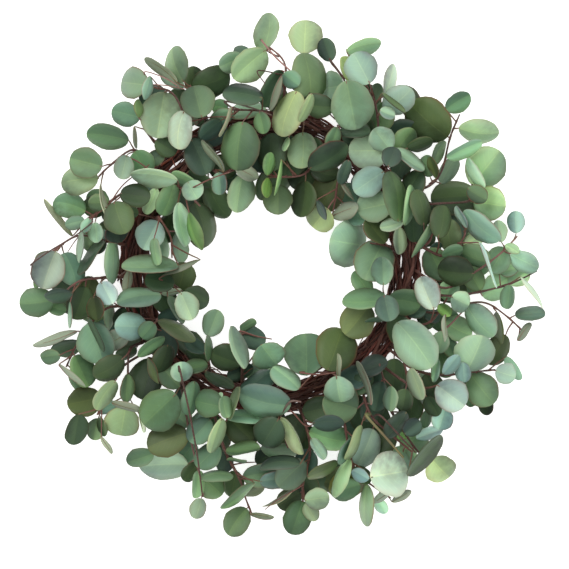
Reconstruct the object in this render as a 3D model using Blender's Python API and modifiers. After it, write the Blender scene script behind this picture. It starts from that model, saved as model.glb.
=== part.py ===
# Eucalyptus wreath: a ring of bundled vine twigs with leafy eucalyptus stems pushed into it.
# Metres, +Z up. The wreath lies on its back, so its front faces +Z, and stands on z = 0.
# The origin is the middle of its outline, on the surface it lies on.

import math
import random

import bpy
import bmesh
from mathutils import Matrix, Vector
from mathutils.bvhtree import BVHTree

MM = 0.001

# Whole wreath: its width across the leaf tips, and the same width in the photograph's pixels
WREATH_WIDTH = 560 * MM
WREATH_WIDTH_PX = 525
PX = WREATH_WIDTH / WREATH_WIDTH_PX
MIDDLE_PX = (284.5, 276)

# Vine ring: centreline radius, bundle radius, ridges of the twigs and their twist round the bundle
RING_MIDDLE_PX = (270, 262)
RING_RADIUS = 146 * MM
VINE_RADIUS = 18 * MM
VINE_RIDGES = 5
RIDGE_HEIGHT = 1.7 * MM
RIDGE_TURNS = 4
RING_SECTIONS = 48
SECTION_POINTS = 10
# The bundle waves up and down three times, and its three low stretches are pressed flat
RING_WAVES = 3
WAVE_HEIGHT = 2.2 * MM
PRESSED_FLAT = 3.0 * MM
LOWEST_AXIS = VINE_RADIUS - PRESSED_FLAT

# Stems: thick at the butt, thin at the tip, the butt standing in a socket in the vine and
# leaning outwards along the stem's course
STEM_RADIUS = 1.5 * MM
STEM_TIP_RADIUS = 1.0 * MM
BUTT_LENGTH = 11 * MM
BUTT_PROUD = 3 * MM
BUTT_LEAN = 0.72
BUTT_RISE = 0.70
SOCKET_CLEARANCE = 0.35 * MM
STEM_STEP = 30 * MM

# Leaves
BLADE_THICKNESS = 0.7 * MM
BLADE_GAP = 0.35 * MM
PETIOLE_WIDTH = 1.3 * MM
ROOT_SUNK = 2.5 * MM
SLIVERS = (0.08 * MM, 0.05 * MM, 0.03 * MM, 0.015 * MM)
LARGE_LEAF = 31 * PX
LOWEST_LEAF = 2.0 * MM
# True shape: width over length, and what a leaf seen as a thin line has
SLIM, BROAD = 0.80, 0.94
EDGE_ON_RATIO = 0.45
EDGE_ON_LOOK = 0.2
MOST_TILT_COSINE = 0.5
MOST_ROLL_COSINE = 0.16
TILT_SPREAD = 0.10
ROLL_SPREAD = 0.08
DISH = (0.03, 0.10)
DROOP = (-0.02, 0.10)
DROOP_START = 0.3
HEIGHT_SPREAD = 2 * MM
# Rim of a leaf as angles from the petiole round to the tip, the ends a little beyond its length
LARGE_RIM = (50, 95, 140, 180)
SMALL_RIM = (60, 115, 180)
RIM_RADIUS = 0.52
TIP_BROADER = 0.12
# A petiole leaves its stem this share of its own length nearer the root
PETIOLE_RAKE = 0.4
PETIOLE_TURNED = 0.35
# Round leaves point away from their stem, where they sit far enough from it
ROUND_LOOK = 0.7
CLEAR_OF_STEM = 0.3

# Height of the foliage over the ring, its fall to the outer tips and into the hole,
# and how far each layer lies from it, the deepest first
CROWN = 62 * MM
OUTER_FALL = 32 * MM
OUTER_REACH = 145 * MM
INNER_FALL = 26 * MM
INNER_REACH = 70 * MM
LAYER_RISE = (-24 * MM, -11 * MM, 2 * MM, 15 * MM, 24 * MM)
STEM_SINK = 6 * MM
RISE_STEP = 3 * MM
TRY_SIZES = (1.0, 0.92, 0.82)
TRIES_EACH_SIZE = 22
SIDE_SPARE = 1.03
STEM_RISE_STEP = 3 * MM
STEM_TRIES = 13

# Leaf colours by letter
TONES = {
    "c": (0.60, 0.74, 0.62), "p": (0.42, 0.60, 0.46), "b": (0.35, 0.55, 0.50), "l": (0.36, 0.54, 0.28),
    "s": (0.24, 0.42, 0.30), "g": (0.17, 0.34, 0.17), "v": (0.34, 0.52, 0.17), "y": (0.44, 0.60, 0.28),
    "t": (0.10, 0.20, 0.17), "d": (0.08, 0.17, 0.08), "o": (0.13, 0.21, 0.07), "k": (0.40, 0.44, 0.36),
}

# Each leafy stem: its course in the photograph's pixels from the ring outwards, and its leaves.
# A leaf is its middle x and y, its length and width as seen, the direction it points in degrees
# (0 right, 90 up), and its colour letter with its layer, 0 deepest and 4 frontmost.
SPRIGS = [
    {"stem": [(278, 130), (281, 100), (291, 74), (279, 57), (263, 42)],
     "leaves": [(267, 33, 38, 24, 75, "l2"), (250, 66, 42, 28, 222, "l3"), (231, 62, 25, 19, 150, "s2"),
                (242, 53, 18, 17, 110, "s1"), (273, 89, 40, 22, 245, "d2"), (277, 95, 36, 5, 255, "k3")]},
    {"stem": [(305, 127), (303, 105), (306, 80), (304, 53)],
     "leaves": [(305, 36, 34, 34, 90, "y1"), (308, 77, 48, 36, 268, "g2"), (289, 115, 47, 32, 250, "y3"),
                (302, 151, 36, 29, 262, "l2")]},
    {"stem": [(336, 130), (352, 104), (345, 82), (330, 61)],
     "leaves": [(327, 50, 24, 18, 98, "t2"), (331, 87, 29, 34, 187, "s1"), (349, 70, 30, 18, 112, "l1"),
                (351, 107, 50, 42, 262, "s3"), (333, 140, 25, 15, 250, "g3"),
                (318, 106, 32, 24, 150, "t1")]},
    {"stem": [(366, 152), (378, 128), (373, 95), (369, 83)],
     "leaves": [(361, 69, 33, 33, 125, "b3"), (364, 47, 36, 15, 14, "s1"), (389, 80, 32, 13, 75, "c2"),
                (398, 101, 34, 29, 140, "b2"), (393, 104, 30, 5, 320, "o3"), (410, 102, 38, 22, 105, "o0"),
                (380, 118, 34, 26, 60, "d0")]},
    {"stem": [(388, 190), (425, 188), (441, 172), (450, 138), (460, 114)],
     "leaves": [(458, 102, 28, 19, 32, "g2"), (479, 131, 40, 21, 352, "l2"), (429, 120, 50, 43, 135, "d1"),
                (464, 151, 38, 14, 22, "s3"), (438, 154, 28, 10, 65, "g2"), (449, 170, 30, 15, 60, "s1")]},
    {"stem": [(396, 208), (428, 203), (458, 205), (474, 197), (472, 184)],
     "leaves": [(486, 168, 42, 40, 40, "l2"), (489, 204, 28, 34, 350, "l2"), (474, 175, 34, 13, 125, "p3"),
                (476, 195, 22, 18, 330, "g3"), (455, 197, 47, 32, 185, "d2")]},
    {"stem": [(408, 236), (438, 256), (456, 250), (466, 230), (463, 213)],
     "leaves": [(481, 226, 46, 20, 318, "p3"), (450, 236, 34, 22, 100, "o1"), (440, 222, 32, 22, 80, "d2"),
                (488, 265, 48, 4, 292, "c3")]},
    {"stem": [(410, 264), (440, 288), (462, 281), (488, 262), (505, 250), (518, 236)],
     "leaves": [(516, 222, 22, 18, 88, "b2"), (525, 261, 31, 22, 345, "p2"), (498, 260, 28, 26, 280, "s1"),
                (475, 257, 34, 23, 160, "g2"), (500, 231, 22, 14, 100, "p1"),
                (455, 272, 36, 28, 200, "t0")]},
    {"stem": [(410, 284), (445, 296), (478, 292), (510, 284), (538, 271)],
     "leaves": [(520, 277, 24, 18, 20, "l1"), (532, 292, 38, 4, 308, "c3"), (497, 287, 32, 27, 35, "s1"),
                (508, 297, 24, 14, 262, "g2"), (474, 279, 26, 22, 120, "g1"),
                (459, 301, 20, 22, 345, "p3")]},
    {"stem": [(405, 312), (445, 312), (475, 301), (500, 311), (528, 335)],
     "leaves": [(531, 314, 30, 14, 5, "t2"), (480, 321, 40, 26, 310, "p2"), (498, 328, 32, 9, 275, "o2"),
                (498, 350, 34, 24, 262, "d1")]},
    {"stem": [(402, 326), (424, 331), (436, 310), (447, 298)],
     "leaves": [(426, 293, 34, 24, 105, "c3"), (449, 290, 22, 20, 80, "g2")]},
    {"stem": [(402, 340), (430, 337), (447, 327), (462, 312)],
     "leaves": [(458, 329, 30, 26, 330, "g1"), (440, 342, 22, 18, 250, "s2")]},
    {"stem": [(394, 354), (425, 374), (460, 373), (496, 370)],
     "leaves": [(474, 353, 35, 40, 82, "l3"), (450, 364, 24, 15, 52, "b3"), (463, 372, 20, 16, 275, "b3"),
                (506, 374, 22, 22, 335, "p2"), (514, 369, 28, 9, 300, "s1"), (482, 389, 32, 33, 310, "g2")]},
    {"stem": [(386, 374), (416, 388), (443, 386), (446, 408)],
     "leaves": [(450, 395, 32, 33, 300, "c3"), (442, 419, 21, 22, 265, "b2"), (430, 434, 28, 14, 200, "b1"),
                (412, 408, 30, 24, 250, "d0")]},
    {"stem": [(388, 338), (398, 352), (406, 364), (408, 380)],
     "leaves": [(413, 345, 56, 37, 306, "p3"), (414, 384, 40, 15, 286, "p3"), (424, 388, 32, 14, 285, "g2"),
                (394, 376, 34, 28, 255, "d0")]},
    {"stem": [(400, 294), (384, 299), (366, 303)],
     "leaves": [(364, 299, 44, 23, 180, "g3"), (357, 320, 36, 35, 225, "o2"), (362, 283, 28, 20, 150, "g2"),
                (382, 271, 28, 22, 60, "s3"), (404, 302, 34, 26, 80, "g2")]},
    {"stem": [(402, 256), (388, 246), (370, 243)],
     "leaves": [(374, 260, 42, 40, 250, "s3"), (350, 243, 36, 49, 185, "s2"), (376, 231, 30, 22, 185, "o2"),
                (398, 241, 27, 15, 272, "p3"), (391, 225, 24, 15, 195, "p3")]},
    {"stem": [(400, 232), (406, 207), (403, 180), (385, 168)],
     "leaves": [(368, 182, 35, 29, 215, "b3"), (395, 197, 50, 24, 95, "g2"), (408, 206, 40, 13, 78, "g3"),
                (391, 158, 20, 20, 48, "t3"), (374, 207, 36, 32, 150, "s2"), (414, 186, 34, 24, 80, "d0")]},
    {"stem": [(374, 172), (390, 165), (396, 149)],
     "leaves": [(409, 160, 36, 12, 325, "p3"), (404, 141, 30, 22, 60, "g1"), (382, 140, 28, 26, 120, "p2"),
                (369, 151, 38, 36, 200, "p2")]},
    {"stem": [(347, 158), (338, 180), (335, 202)],
     "leaves": [(344, 173, 25, 13, 250, "t3"), (346, 211, 26, 17, 20, "k2"), (328, 192, 46, 34, 235, "o1"),
                (320, 218, 23, 30, 250, "y2")]},
    {"stem": [(322, 146), (310, 168), (296, 178), (272, 177)],
     "leaves": [(328, 158, 44, 24, 30, "d2"), (303, 199, 36, 24, 262, "d2"), (278, 199, 26, 30, 265, "g2"),
                (279, 178, 36, 5, 262, "v3"), (263, 186, 28, 14, 262, "d1"), (272, 152, 38, 30, 95, "d0")]},
    {"stem": [(206, 160), (214, 174), (224, 171), (240, 168)],
     "leaves": [(220, 184, 22, 16, 268, "s3"), (217, 201, 38, 24, 300, "d1"), (241, 193, 40, 26, 262, "l2"),
                (213, 157, 38, 7, 128, "k3")]},
    {"stem": [(258, 130), (266, 114), (250, 108), (232, 110)],
     "leaves": [(243, 96, 40, 22, 170, "t2"), (247, 112, 38, 16, 190, "s1"), (226, 123, 32, 4, 248, "k3"),
                (240, 147, 48, 38, 262, "g3"), (211, 130, 27, 20, 200, "t2")]},
    {"stem": [(212, 140), (206, 122), (198, 100), (190, 85)],
     "leaves": [(211, 81, 40, 32, 350, "d1"), (177, 65, 38, 23, 112, "s2"), (161, 71, 40, 11, 144, "k2"),
                (198, 102, 33, 34, 105, "g3"), (181, 131, 38, 26, 258, "c3"), (193, 79, 26, 20, 140, "d1")]},
    {"stem": [(190, 150), (184, 115), (172, 93), (150, 86)],
     "leaves": [(134, 84, 27, 32, 178, "s2"), (161, 114, 46, 42, 262, "p2"), (199, 157, 38, 30, 290, "t1")]},
    {"stem": [(168, 158), (150, 138), (142, 122), (139, 112)],
     "leaves": [(126, 114, 29, 25, 158, "s2"), (166, 147, 24, 20, 300, "d1")]},
    {"stem": [(154, 174), (134, 150), (110, 166), (94, 182)],
     "leaves": [(108, 137, 42, 26, 170, "g2"), (87, 163, 33, 31, 172, "g3"), (80, 181, 38, 30, 178, "l2"),
                (142, 164, 28, 27, 280, "g2"), (125, 168, 24, 20, 250, "b3"), (107, 206, 44, 4, 284, "k3")]},
    {"stem": [(146, 200), (128, 190), (108, 205), (94, 215), (81, 226)],
     "leaves": [(70, 206, 33, 27, 190, "g2"), (58, 218, 46, 5, 129, "k2"), (76, 223, 20, 15, 200, "s3"),
                (97, 233, 20, 16, 250, "p2"), (121, 218, 33, 31, 300, "g3"), (136, 196, 30, 24, 270, "d1")]},
    {"stem": [(132, 246), (105, 241), (77, 236), (45, 257), (32, 265)],
     "leaves": [(81, 246, 34, 12, 262, "p3"), (92, 258, 42, 14, 232, "d2"), (50, 270, 38, 34, 260, "c3"),
                (70, 269, 34, 26, 285, "s2"), (112, 262, 44, 16, 268, "s2")]},
    {"stem": [(130, 276), (100, 278), (78, 282), (54, 301)],
     "leaves": [(108, 293, 24, 20, 270, "c3"), (86, 293, 34, 28, 250, "o1"), (60, 295, 34, 18, 190, "t1"),
                (37, 302, 34, 30, 200, "g2"), (71, 315, 26, 11, 268, "s3"), (80, 303, 34, 28, 235, "d2"),
                (128, 282, 26, 8, 262, "k2")]},
    {"stem": [(138, 212), (155, 218), (171, 222), (170, 245), (172, 258)],
     "leaves": [(151, 265, 56, 21, 178, "s2"), (157, 252, 27, 14, 280, "l3"), (151, 235, 30, 29, 250, "b2"),
                (180, 247, 32, 18, 275, "s2"), (182, 269, 42, 3, 205, "k3")]},
    {"stem": [(158, 186), (180, 184), (192, 200), (200, 206)],
     "leaves": [(155, 179, 46, 14, 175, "p3"), (184, 180, 28, 16, 335, "g2"), (193, 191, 20, 22, 300, "p3"),
                (168, 200, 33, 22, 250, "g2"), (151, 201, 28, 14, 245, "l2"), (200, 225, 46, 30, 285, "t2"),
                (182, 225, 44, 18, 280, "p3"), (195, 232, 39, 15, 287, "v3"),
                (168, 226, 34, 22, 250, "d0")]},
    {"stem": [(142, 286), (162, 280), (174, 284), (184, 293)],
     "leaves": [(187, 306, 29, 24, 265, "p3"), (196, 298, 26, 24, 320, "d2"), (176, 310, 31, 9, 300, "s3"),
                (182, 277, 30, 28, 60, "o1"), (140, 297, 44, 17, 185, "s3")]},
    {"stem": [(140, 342), (150, 330), (158, 318)],
     "leaves": [(132, 326, 32, 28, 195, "b3"), (149, 330, 24, 22, 280, "g2"), (177, 331, 42, 12, 328, "o3"),
                (116, 340, 28, 20, 220, "k2")]},
    {"stem": [(132, 306), (108, 308), (92, 322), (76, 346), (66, 367)],
     "leaves": [(97, 343, 42, 36, 290, "l2"), (97, 334, 38, 6, 297, "g3"), (55, 338, 46, 8, 198, "k2"),
                (66, 347, 32, 18, 195, "t2"), (51, 356, 20, 15, 245, "g3"), (82, 371, 34, 24, 285, "v2"),
                (73, 375, 34, 6, 320, "k3"), (77, 380, 26, 14, 300, "s1"), (109, 315, 30, 8, 268, "s2")]},
    {"stem": [(152, 336), (130, 350), (128, 378), (127, 402)],
     "leaves": [(110, 367, 34, 26, 225, "d2"), (127, 388, 28, 14, 265, "g2"), (127, 406, 30, 9, 345, "k2"),
                (123, 421, 27, 35, 268, "l2")]},
    {"stem": [(146, 354), (124, 364), (117, 380), (104, 402), (97, 415)],
     "leaves": [(107, 395, 34, 18, 235, "l3"), (85, 401, 34, 30, 205, "o2"), (77, 430, 32, 22, 262, "d2")]},
    {"stem": [(180, 366), (182, 388), (186, 412), (191, 440), (198, 470), (203, 496)],
     "leaves": [(182, 371, 20, 22, 270, "p3"), (160, 409, 44, 40, 245, "g3"), (192, 398, 34, 15, 260, "s2"),
                (168, 440, 42, 32, 200, "o2"), (163, 466, 50, 34, 183, "p1"), (140, 458, 28, 20, 215, "g2"),
                (197, 484, 28, 12, 265, "s2"), (211, 486, 28, 26, 290, "g2"), (217, 475, 32, 14, 8, "o3"),
                (198, 509, 21, 16, 262, "p2")]},
    {"stem": [(166, 346), (154, 358), (150, 372)],
     "leaves": [(147, 379, 42, 34, 250, "d1"), (154, 370, 28, 7, 292, "o2"), (152, 346, 32, 13, 215, "g3")]},
    {"stem": [(210, 388), (209, 362), (207, 336)],
     "leaves": [(213, 323, 28, 22, 50, "s2"), (208, 348, 26, 7, 90, "g3"), (220, 379, 32, 11, 335, "t3")]},
    {"stem": [(216, 392), (214, 412), (224, 448), (240, 480), (246, 500), (252, 515)],
     "leaves": [(200, 430, 30, 24, 240, "s2"), (218, 435, 36, 13, 255, "l3"), (208, 456, 30, 22, 235, "g2"),
                (243, 448, 34, 13, 12, "g2"), (234, 485, 28, 22, 270, "o1"), (238, 495, 42, 15, 220, "g3"),
                (237, 522, 32, 24, 240, "g2"), (240, 430, 34, 26, 300, "o1")]},
    {"stem": [(250, 390), (238, 398), (230, 410), (226, 421)],
     "leaves": [(209, 403, 28, 28, 170, "g2"), (235, 402, 33, 8, 75, "l3"), (244, 418, 42, 17, 355, "s2")]},
    {"stem": [(244, 388), (242, 362), (241, 335), (258, 337)],
     "leaves": [(269, 355, 30, 34, 300, "s3"), (238, 347, 44, 12, 288, "p3"), (252, 338, 28, 22, 320, "t1"),
                (226, 358, 32, 28, 150, "d1")]},
    {"stem": [(284, 400), (282, 412), (278, 424), (288, 448)],
     "leaves": [(265, 399, 52, 35, 168, "s2"), (257, 384, 40, 20, 40, "t2"), (270, 432, 32, 32, 245, "g2"),
                (292, 435, 42, 14, 300, "p3"), (280, 451, 38, 17, 185, "g2")]},
    {"stem": [(296, 398), (306, 426), (310, 452), (303, 484), (303, 502)],
     "leaves": [(262, 476, 38, 24, 185, "s2"), (292, 474, 36, 28, 250, "s2"), (280, 463, 40, 12, 180, "t2"),
                (306, 463, 28, 24, 250, "t2"), (289, 500, 26, 22, 240, "d1"), (297, 518, 34, 28, 258, "g2"),
                (317, 498, 24, 22, 60, "l3"), (311, 512, 20, 14, 300, "p2"), (280, 498, 38, 3, 215, "k2"),
                (323, 470, 34, 13, 20, "o2"), (328, 422, 31, 15, 2, "t4"), (330, 437, 42, 28, 345, "g1")]},
    {"stem": [(352, 382), (335, 372), (304, 372)],
     "leaves": [(335, 349, 44, 42, 70, "o1"), (306, 354, 38, 44, 80, "g2"), (286, 377, 34, 21, 140, "l3"),
                (338, 389, 26, 30, 275, "p4")]},
    {"stem": [(362, 376), (370, 414), (388, 432), (412, 452)],
     "leaves": [(341, 404, 46, 50, 170, "g2"), (365, 448, 40, 30, 265, "b2"), (354, 442, 37, 8, 250, "l3"),
                (365, 382, 46, 4, 105, "k3"), (383, 443, 34, 26, 250, "d0")]},
    {"stem": [(376, 380), (392, 412), (416, 450), (434, 460)],
     "leaves": [(424, 455, 52, 17, 50, "d2"), (442, 470, 34, 34, 315, "y1"), (396, 424, 34, 24, 230, "t0")]},
    {"stem": [(338, 392), (346, 430), (352, 465), (366, 481), (391, 499)],
     "leaves": [(346, 450, 30, 12, 240, "s1"), (341, 477, 42, 10, 245, "l3"), (348, 486, 38, 30, 240, "o1"),
                (367, 506, 42, 15, 268, "l2"), (390, 473, 38, 46, 15, "c3")]},
    {"stem": [(378, 344), (380, 366), (385, 386)],
     "leaves": [(373, 366, 30, 22, 200, "t1"), (390, 398, 25, 13, 265, "s3"),
                (378, 396, 30, 18, 260, "t2")]},
    {"stem": [(412, 250), (428, 246), (434, 228), (433, 212)],
     "leaves": [(424, 237, 48, 6, 245, "p3"), (420, 208, 36, 18, 100, "o1"), (436, 264, 34, 28, 290, "g1")]},
]


def remove_old_objects():
    for obj in list(bpy.data.objects):
        bpy.data.objects.remove(obj, do_unlink=True)


def new_collection(name):
    collection = bpy.data.collections.new(name)
    bpy.context.scene.collection.children.link(collection)
    return collection


def new_material(name, colour, roughness):
    material = bpy.data.materials.new(name)
    material.use_nodes = True
    shader = material.node_tree.nodes["Principled BSDF"]
    shader.inputs["Base Color"].default_value = (*colour, 1)
    shader.inputs["Roughness"].default_value = roughness
    shader.inputs["Metallic"].default_value = 0
    return material


def new_object(name, mesh, collection):
    obj = bpy.data.objects.new(name, mesh)
    collection.objects.link(obj)
    return obj


def hide_guide(obj):
    obj.hide_render = True
    obj.display_type = "WIRE"


def evaluated_mesh(obj):
    graph = bpy.context.evaluated_depsgraph_get()
    return bpy.data.meshes.new_from_object(obj.evaluated_get(graph), depsgraph=graph)


def at_pixel(x, y, z=0.0):
    return Vector(((x - MIDDLE_PX[0]) * PX, (MIDDLE_PX[1] - y) * PX, z))


RING_MIDDLE = at_pixel(*RING_MIDDLE_PX)


def ring_axis(turn):
    low = LOWEST_AXIS + WAVE_HEIGHT * (1 + math.cos(RING_WAVES * turn))
    return RING_MIDDLE + Vector((RING_RADIUS * math.cos(turn), RING_RADIUS * math.sin(turn), low))


def crown_height(point):
    beyond = (point - RING_MIDDLE).to_2d().length - RING_RADIUS
    if beyond > 0:
        return CROWN - OUTER_FALL * (beyond / OUTER_REACH) ** 2
    return CROWN - INNER_FALL * (beyond / INNER_REACH) ** 2


def vine_ring_mesh():
    bm = bmesh.new()
    loops = []
    for section in range(RING_SECTIONS):
        turn = math.tau * section / RING_SECTIONS
        middle = ring_axis(turn)
        outward = Vector((math.cos(turn), math.sin(turn), 0))
        loop = []
        for step in range(SECTION_POINTS):
            round_bundle = math.tau * step / SECTION_POINTS
            ridge = math.cos(VINE_RIDGES * round_bundle + RIDGE_TURNS * turn)
            radius = VINE_RADIUS + RIDGE_HEIGHT * ridge
            point = middle + outward * (radius * math.cos(round_bundle))
            point.z = max(0.0, point.z + radius * math.sin(round_bundle))
            loop.append(bm.verts.new(point))
        loops.append(loop)
    for here, beyond in zip(loops, loops[1:] + loops[:1]):
        for step in range(SECTION_POINTS):
            after = (step + 1) % SECTION_POINTS
            bm.faces.new((here[step], beyond[step], beyond[after], here[after]))
    bmesh.ops.recalc_face_normals(bm, faces=bm.faces)
    bmesh.ops.triangulate(bm, faces=bm.faces)
    mesh = bpy.data.meshes.new("vine_ring")
    bm.to_mesh(mesh)
    bm.free()
    return mesh


def smooth_path(points, count):
    # A curve that passes through every point, read at evenly spaced steps
    ends = [points[0] * 2 - points[1]] + points + [points[-1] * 2 - points[-2]]
    path = []
    for step in range(count + 1):
        place = step / count * (len(points) - 1)
        first = min(int(place), len(points) - 2)
        t = place - first
        a, b, c, d = ends[first:first + 4]
        path.append(0.5 * (2 * b + (c - a) * t + (2 * a - 5 * b + 4 * c - d) * t ** 2
                           + (3 * b - a - 3 * c + d) * t ** 3))
    return path


def stem_path(sprig, rise):
    # The butt runs straight out of the vine, then the stem follows its course over the foliage
    course = [at_pixel(*pixel) for pixel in sprig["stem"]]
    for point in course:
        point.z = crown_height(point) - STEM_SINK + rise
    from_middle = course[0] - RING_MIDDLE
    turn = math.atan2(from_middle.y, from_middle.x)
    root = ring_axis(turn)
    heading = (course[1] - root).to_2d().normalized().to_3d()
    out = (heading * BUTT_LEAN + Vector((0, 0, BUTT_RISE))).normalized()
    along_ring = Vector((-math.sin(turn), math.cos(turn), 0))
    across = (out - along_ring * out.dot(along_ring)).length
    mouth = root + out * ((VINE_RADIUS + RIDGE_HEIGHT + BUTT_PROUD) / across)
    course[0] = mouth
    length = sum((b - a).length for a, b in zip(course, course[1:]))
    rest = smooth_path(course, max(2, round(length / STEM_STEP)))
    return [mouth - out * BUTT_LENGTH] + rest


def stem_radius(path, number):
    return STEM_RADIUS + (STEM_TIP_RADIUS - STEM_RADIUS) * number / (len(path) - 1)


def tube_mesh(name, path, radii):
    curve = bpy.data.curves.new(name, "CURVE")
    curve.dimensions = "3D"
    curve.bevel_depth = 1.0
    curve.bevel_resolution = 0
    curve.use_fill_caps = True
    spline = curve.splines.new("POLY")
    spline.points.add(len(path) - 1)
    for point, place, radius in zip(spline.points, path, radii):
        point.co = (*place, 1)
        point.radius = radius
    guide = new_object(name + "_guide", curve, bpy.context.scene.collection)
    mesh = evaluated_mesh(guide)
    bpy.data.objects.remove(guide)
    bpy.data.curves.remove(curve)
    bm = bmesh.new()
    bm.from_mesh(mesh)
    bmesh.ops.remove_doubles(bm, verts=bm.verts, dist=0.01 * MM)
    bmesh.ops.recalc_face_normals(bm, faces=bm.faces)
    bmesh.ops.triangulate(bm, faces=bm.faces)
    bm.to_mesh(mesh)
    bm.free()
    return mesh


def grow_stems(ring_tree):
    # Each stem takes the first height at which it is clear of the vine and of the stems before it
    paths, meshes, trees = [], [], []
    for number, sprig in enumerate(SPRIGS):
        for attempt in range(STEM_TRIES):
            rise = STEM_RISE_STEP * ((attempt + 1) // 2) * (1 if attempt % 2 else -1)
            path = stem_path(sprig, rise)
            radii = [stem_radius(path, place) for place in range(len(path))]
            wide = mesh_tree(tube_mesh("wide", path, [radius + BLADE_GAP for radius in radii]))
            free = mesh_tree(tube_mesh("free", path[2:], [radius + BLADE_GAP for radius in radii[2:]]))
            if not free.overlap(ring_tree) and not any(wide.overlap(tree) for tree in trees):
                break
        else:
            print("no room for stem", number + 1)
        mesh = tube_mesh(f"sprig_{number + 1:02d}", path, radii)
        paths.append(path)
        meshes.append(mesh)
        trees.append(mesh_tree(mesh))
    return paths, meshes, trees


def leaf_form(row, seed):
    # True size and shape of a leaf from how it is seen, with its small differences drawn by seed
    draw = random.Random(seed)
    along, across, look = row[2] * PX, row[3] * PX, row[5]
    edge_on = look[0] == "k" or across < EDGE_ON_LOOK * along
    ratio = EDGE_ON_RATIO if edge_on else draw.uniform(SLIM, BROAD)
    roll = pitch = 0.0
    length, width = along, ratio * along
    if across < width:
        roll = math.acos(max(across / width, MOST_ROLL_COSINE)) * draw.choice((-1, 1))
    else:
        width = across
        length = across / ratio
        pitch = math.acos(max(along / length, MOST_TILT_COSINE)) * draw.choice((-1, -1, 1))
    form = {"length": length, "width": width, "pitch": pitch + draw.gauss(0, TILT_SPREAD)}
    form["roll"] = roll + draw.gauss(0, ROLL_SPREAD)
    form["cup"] = length * draw.uniform(*DISH) * draw.choice((-1, -1, 1))
    form["droop"] = length * draw.uniform(*DROOP)
    form["height"] = LAYER_RISE[int(look[1])] + draw.uniform(-HEIGHT_SPREAD, HEIGHT_SPREAD)
    form["underside"] = look[0] == "k"
    return form


def nearest_on_path(path, point):
    # Nearest place on the stem beyond its butt: how far off it is, and how far along the stem
    best = None
    travelled = 0.0
    for a, b in zip(path[1:], path[2:]):
        span = b - a
        t = min(1.0, max(0.0, (point - a).dot(span) / span.length_squared))
        found = a + span * t
        gap = (point - found).length
        if best is None or gap < best[0]:
            best = (gap, travelled + t * span.length)
        travelled += span.length
    return best


def along_path(path, distance):
    # A place on the stem, never nearer its tip than the depth a petiole is sunk
    whole = sum((b - a).length for a, b in zip(path[1:], path[2:]))
    distance = min(distance, whole - ROOT_SUNK)
    for a, b in zip(path[1:], path[2:]):
        span = (b - a).length
        if distance <= span:
            return a.lerp(b, max(0.0, distance / span))
        distance -= span
    return path[-1]


def place_leaf(row, form, path, attempt):
    # Middle, directions and petiole root of a leaf. Later tries move it up or down in growing
    # steps, then make it smaller.
    rise = RISE_STEP * ((attempt % TRIES_EACH_SIZE + 1) // 2) * (1 if attempt % 2 else -1)
    size = TRY_SIZES[attempt // TRIES_EACH_SIZE]
    middle = at_pixel(row[0], row[1])
    middle.z = crown_height(middle) + form["height"] + rise
    length, width = form["length"] * size, form["width"] * size
    heading = math.radians(row[4])
    seen = Vector((math.cos(heading), math.sin(heading), 0))
    root = along_path(path, nearest_on_path(path, middle - seen * length / 2)[1])
    from_root = (middle - root).to_2d().to_3d()
    if row[3] > ROUND_LOOK * row[2] and from_root.length > CLEAR_OF_STEM * length:
        seen = from_root.normalized()
    axis = (seen * math.cos(form["pitch"]) + Vector((0, 0, math.sin(form["pitch"])))).normalized()
    side = Vector((0, 0, 1)).cross(axis).normalized()
    turn = Matrix.Rotation(form["roll"] + (math.pi if form["underside"] else 0), 3, axis)
    side = turn @ side
    face = axis.cross(side)
    base = middle - axis * length / 2
    gap, distance = nearest_on_path(path, base)
    root = along_path(path, max(0.0, distance - PETIOLE_RAKE * gap))
    return {"middle": middle, "axis": axis, "side": side, "face": face, "base": base, "root": root,
            "length": length, "width": width, "cup": form["cup"], "droop": form["droop"]}


def leaf_surface(place, form):
    # Open surface: a dished fan for a large blade, a flat one for a small, a strip for the petiole
    axis, side, face = place["axis"], place["side"], place["face"]
    length, width = place["length"], place["width"]

    def on_leaf(u, v, w):
        return place["base"] + axis * (u * length) + side * (v * width) + face * w

    large = form["length"] > LARGE_LEAF
    half = []
    for degrees in LARGE_RIM if large else SMALL_RIM:
        t = math.radians(degrees)
        u = 0.5 - RIM_RADIUS * math.cos(t)
        v = RIM_RADIUS * math.sin(t) * (1 + TIP_BROADER * (u - 0.5))
        half.append((u, v, -form["droop"] * 2 * max(0.0, u - DROOP_START) ** 2 if large else 0.0))
    right = [(u, -v, w) for u, v, w in half if v > 0.01]
    rim = half + right[::-1]
    points = [on_leaf(0.52, 0, -place["cup"])] + [on_leaf(*point) for point in rim]
    base_half = side * (PETIOLE_WIDTH / 2)
    points += [place["base"] - base_half, place["base"] + base_half]
    run = (place["root"] - place["base"]).normalized()
    root_side = side - run * side.dot(run)
    if root_side.length < PETIOLE_TURNED:
        root_side = face - run * face.dot(run)
    root_half = root_side.normalized() * (PETIOLE_WIDTH / 2)
    if root_half.dot(base_half) < 0:
        root_half.negate()
    points += [place["root"] - root_half, place["root"] + root_half]
    last = len(rim) + 2
    petiole = [(last, last - 1, last + 1), (last, last + 1, last + 2)]
    if large:
        return points, [(0, number, number % last + 1) for number in range(1, last + 1)], petiole
    petiole = [tuple(number - 1 for number in face) for face in petiole]
    return points[1:], [tuple(range(last))], petiole


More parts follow.
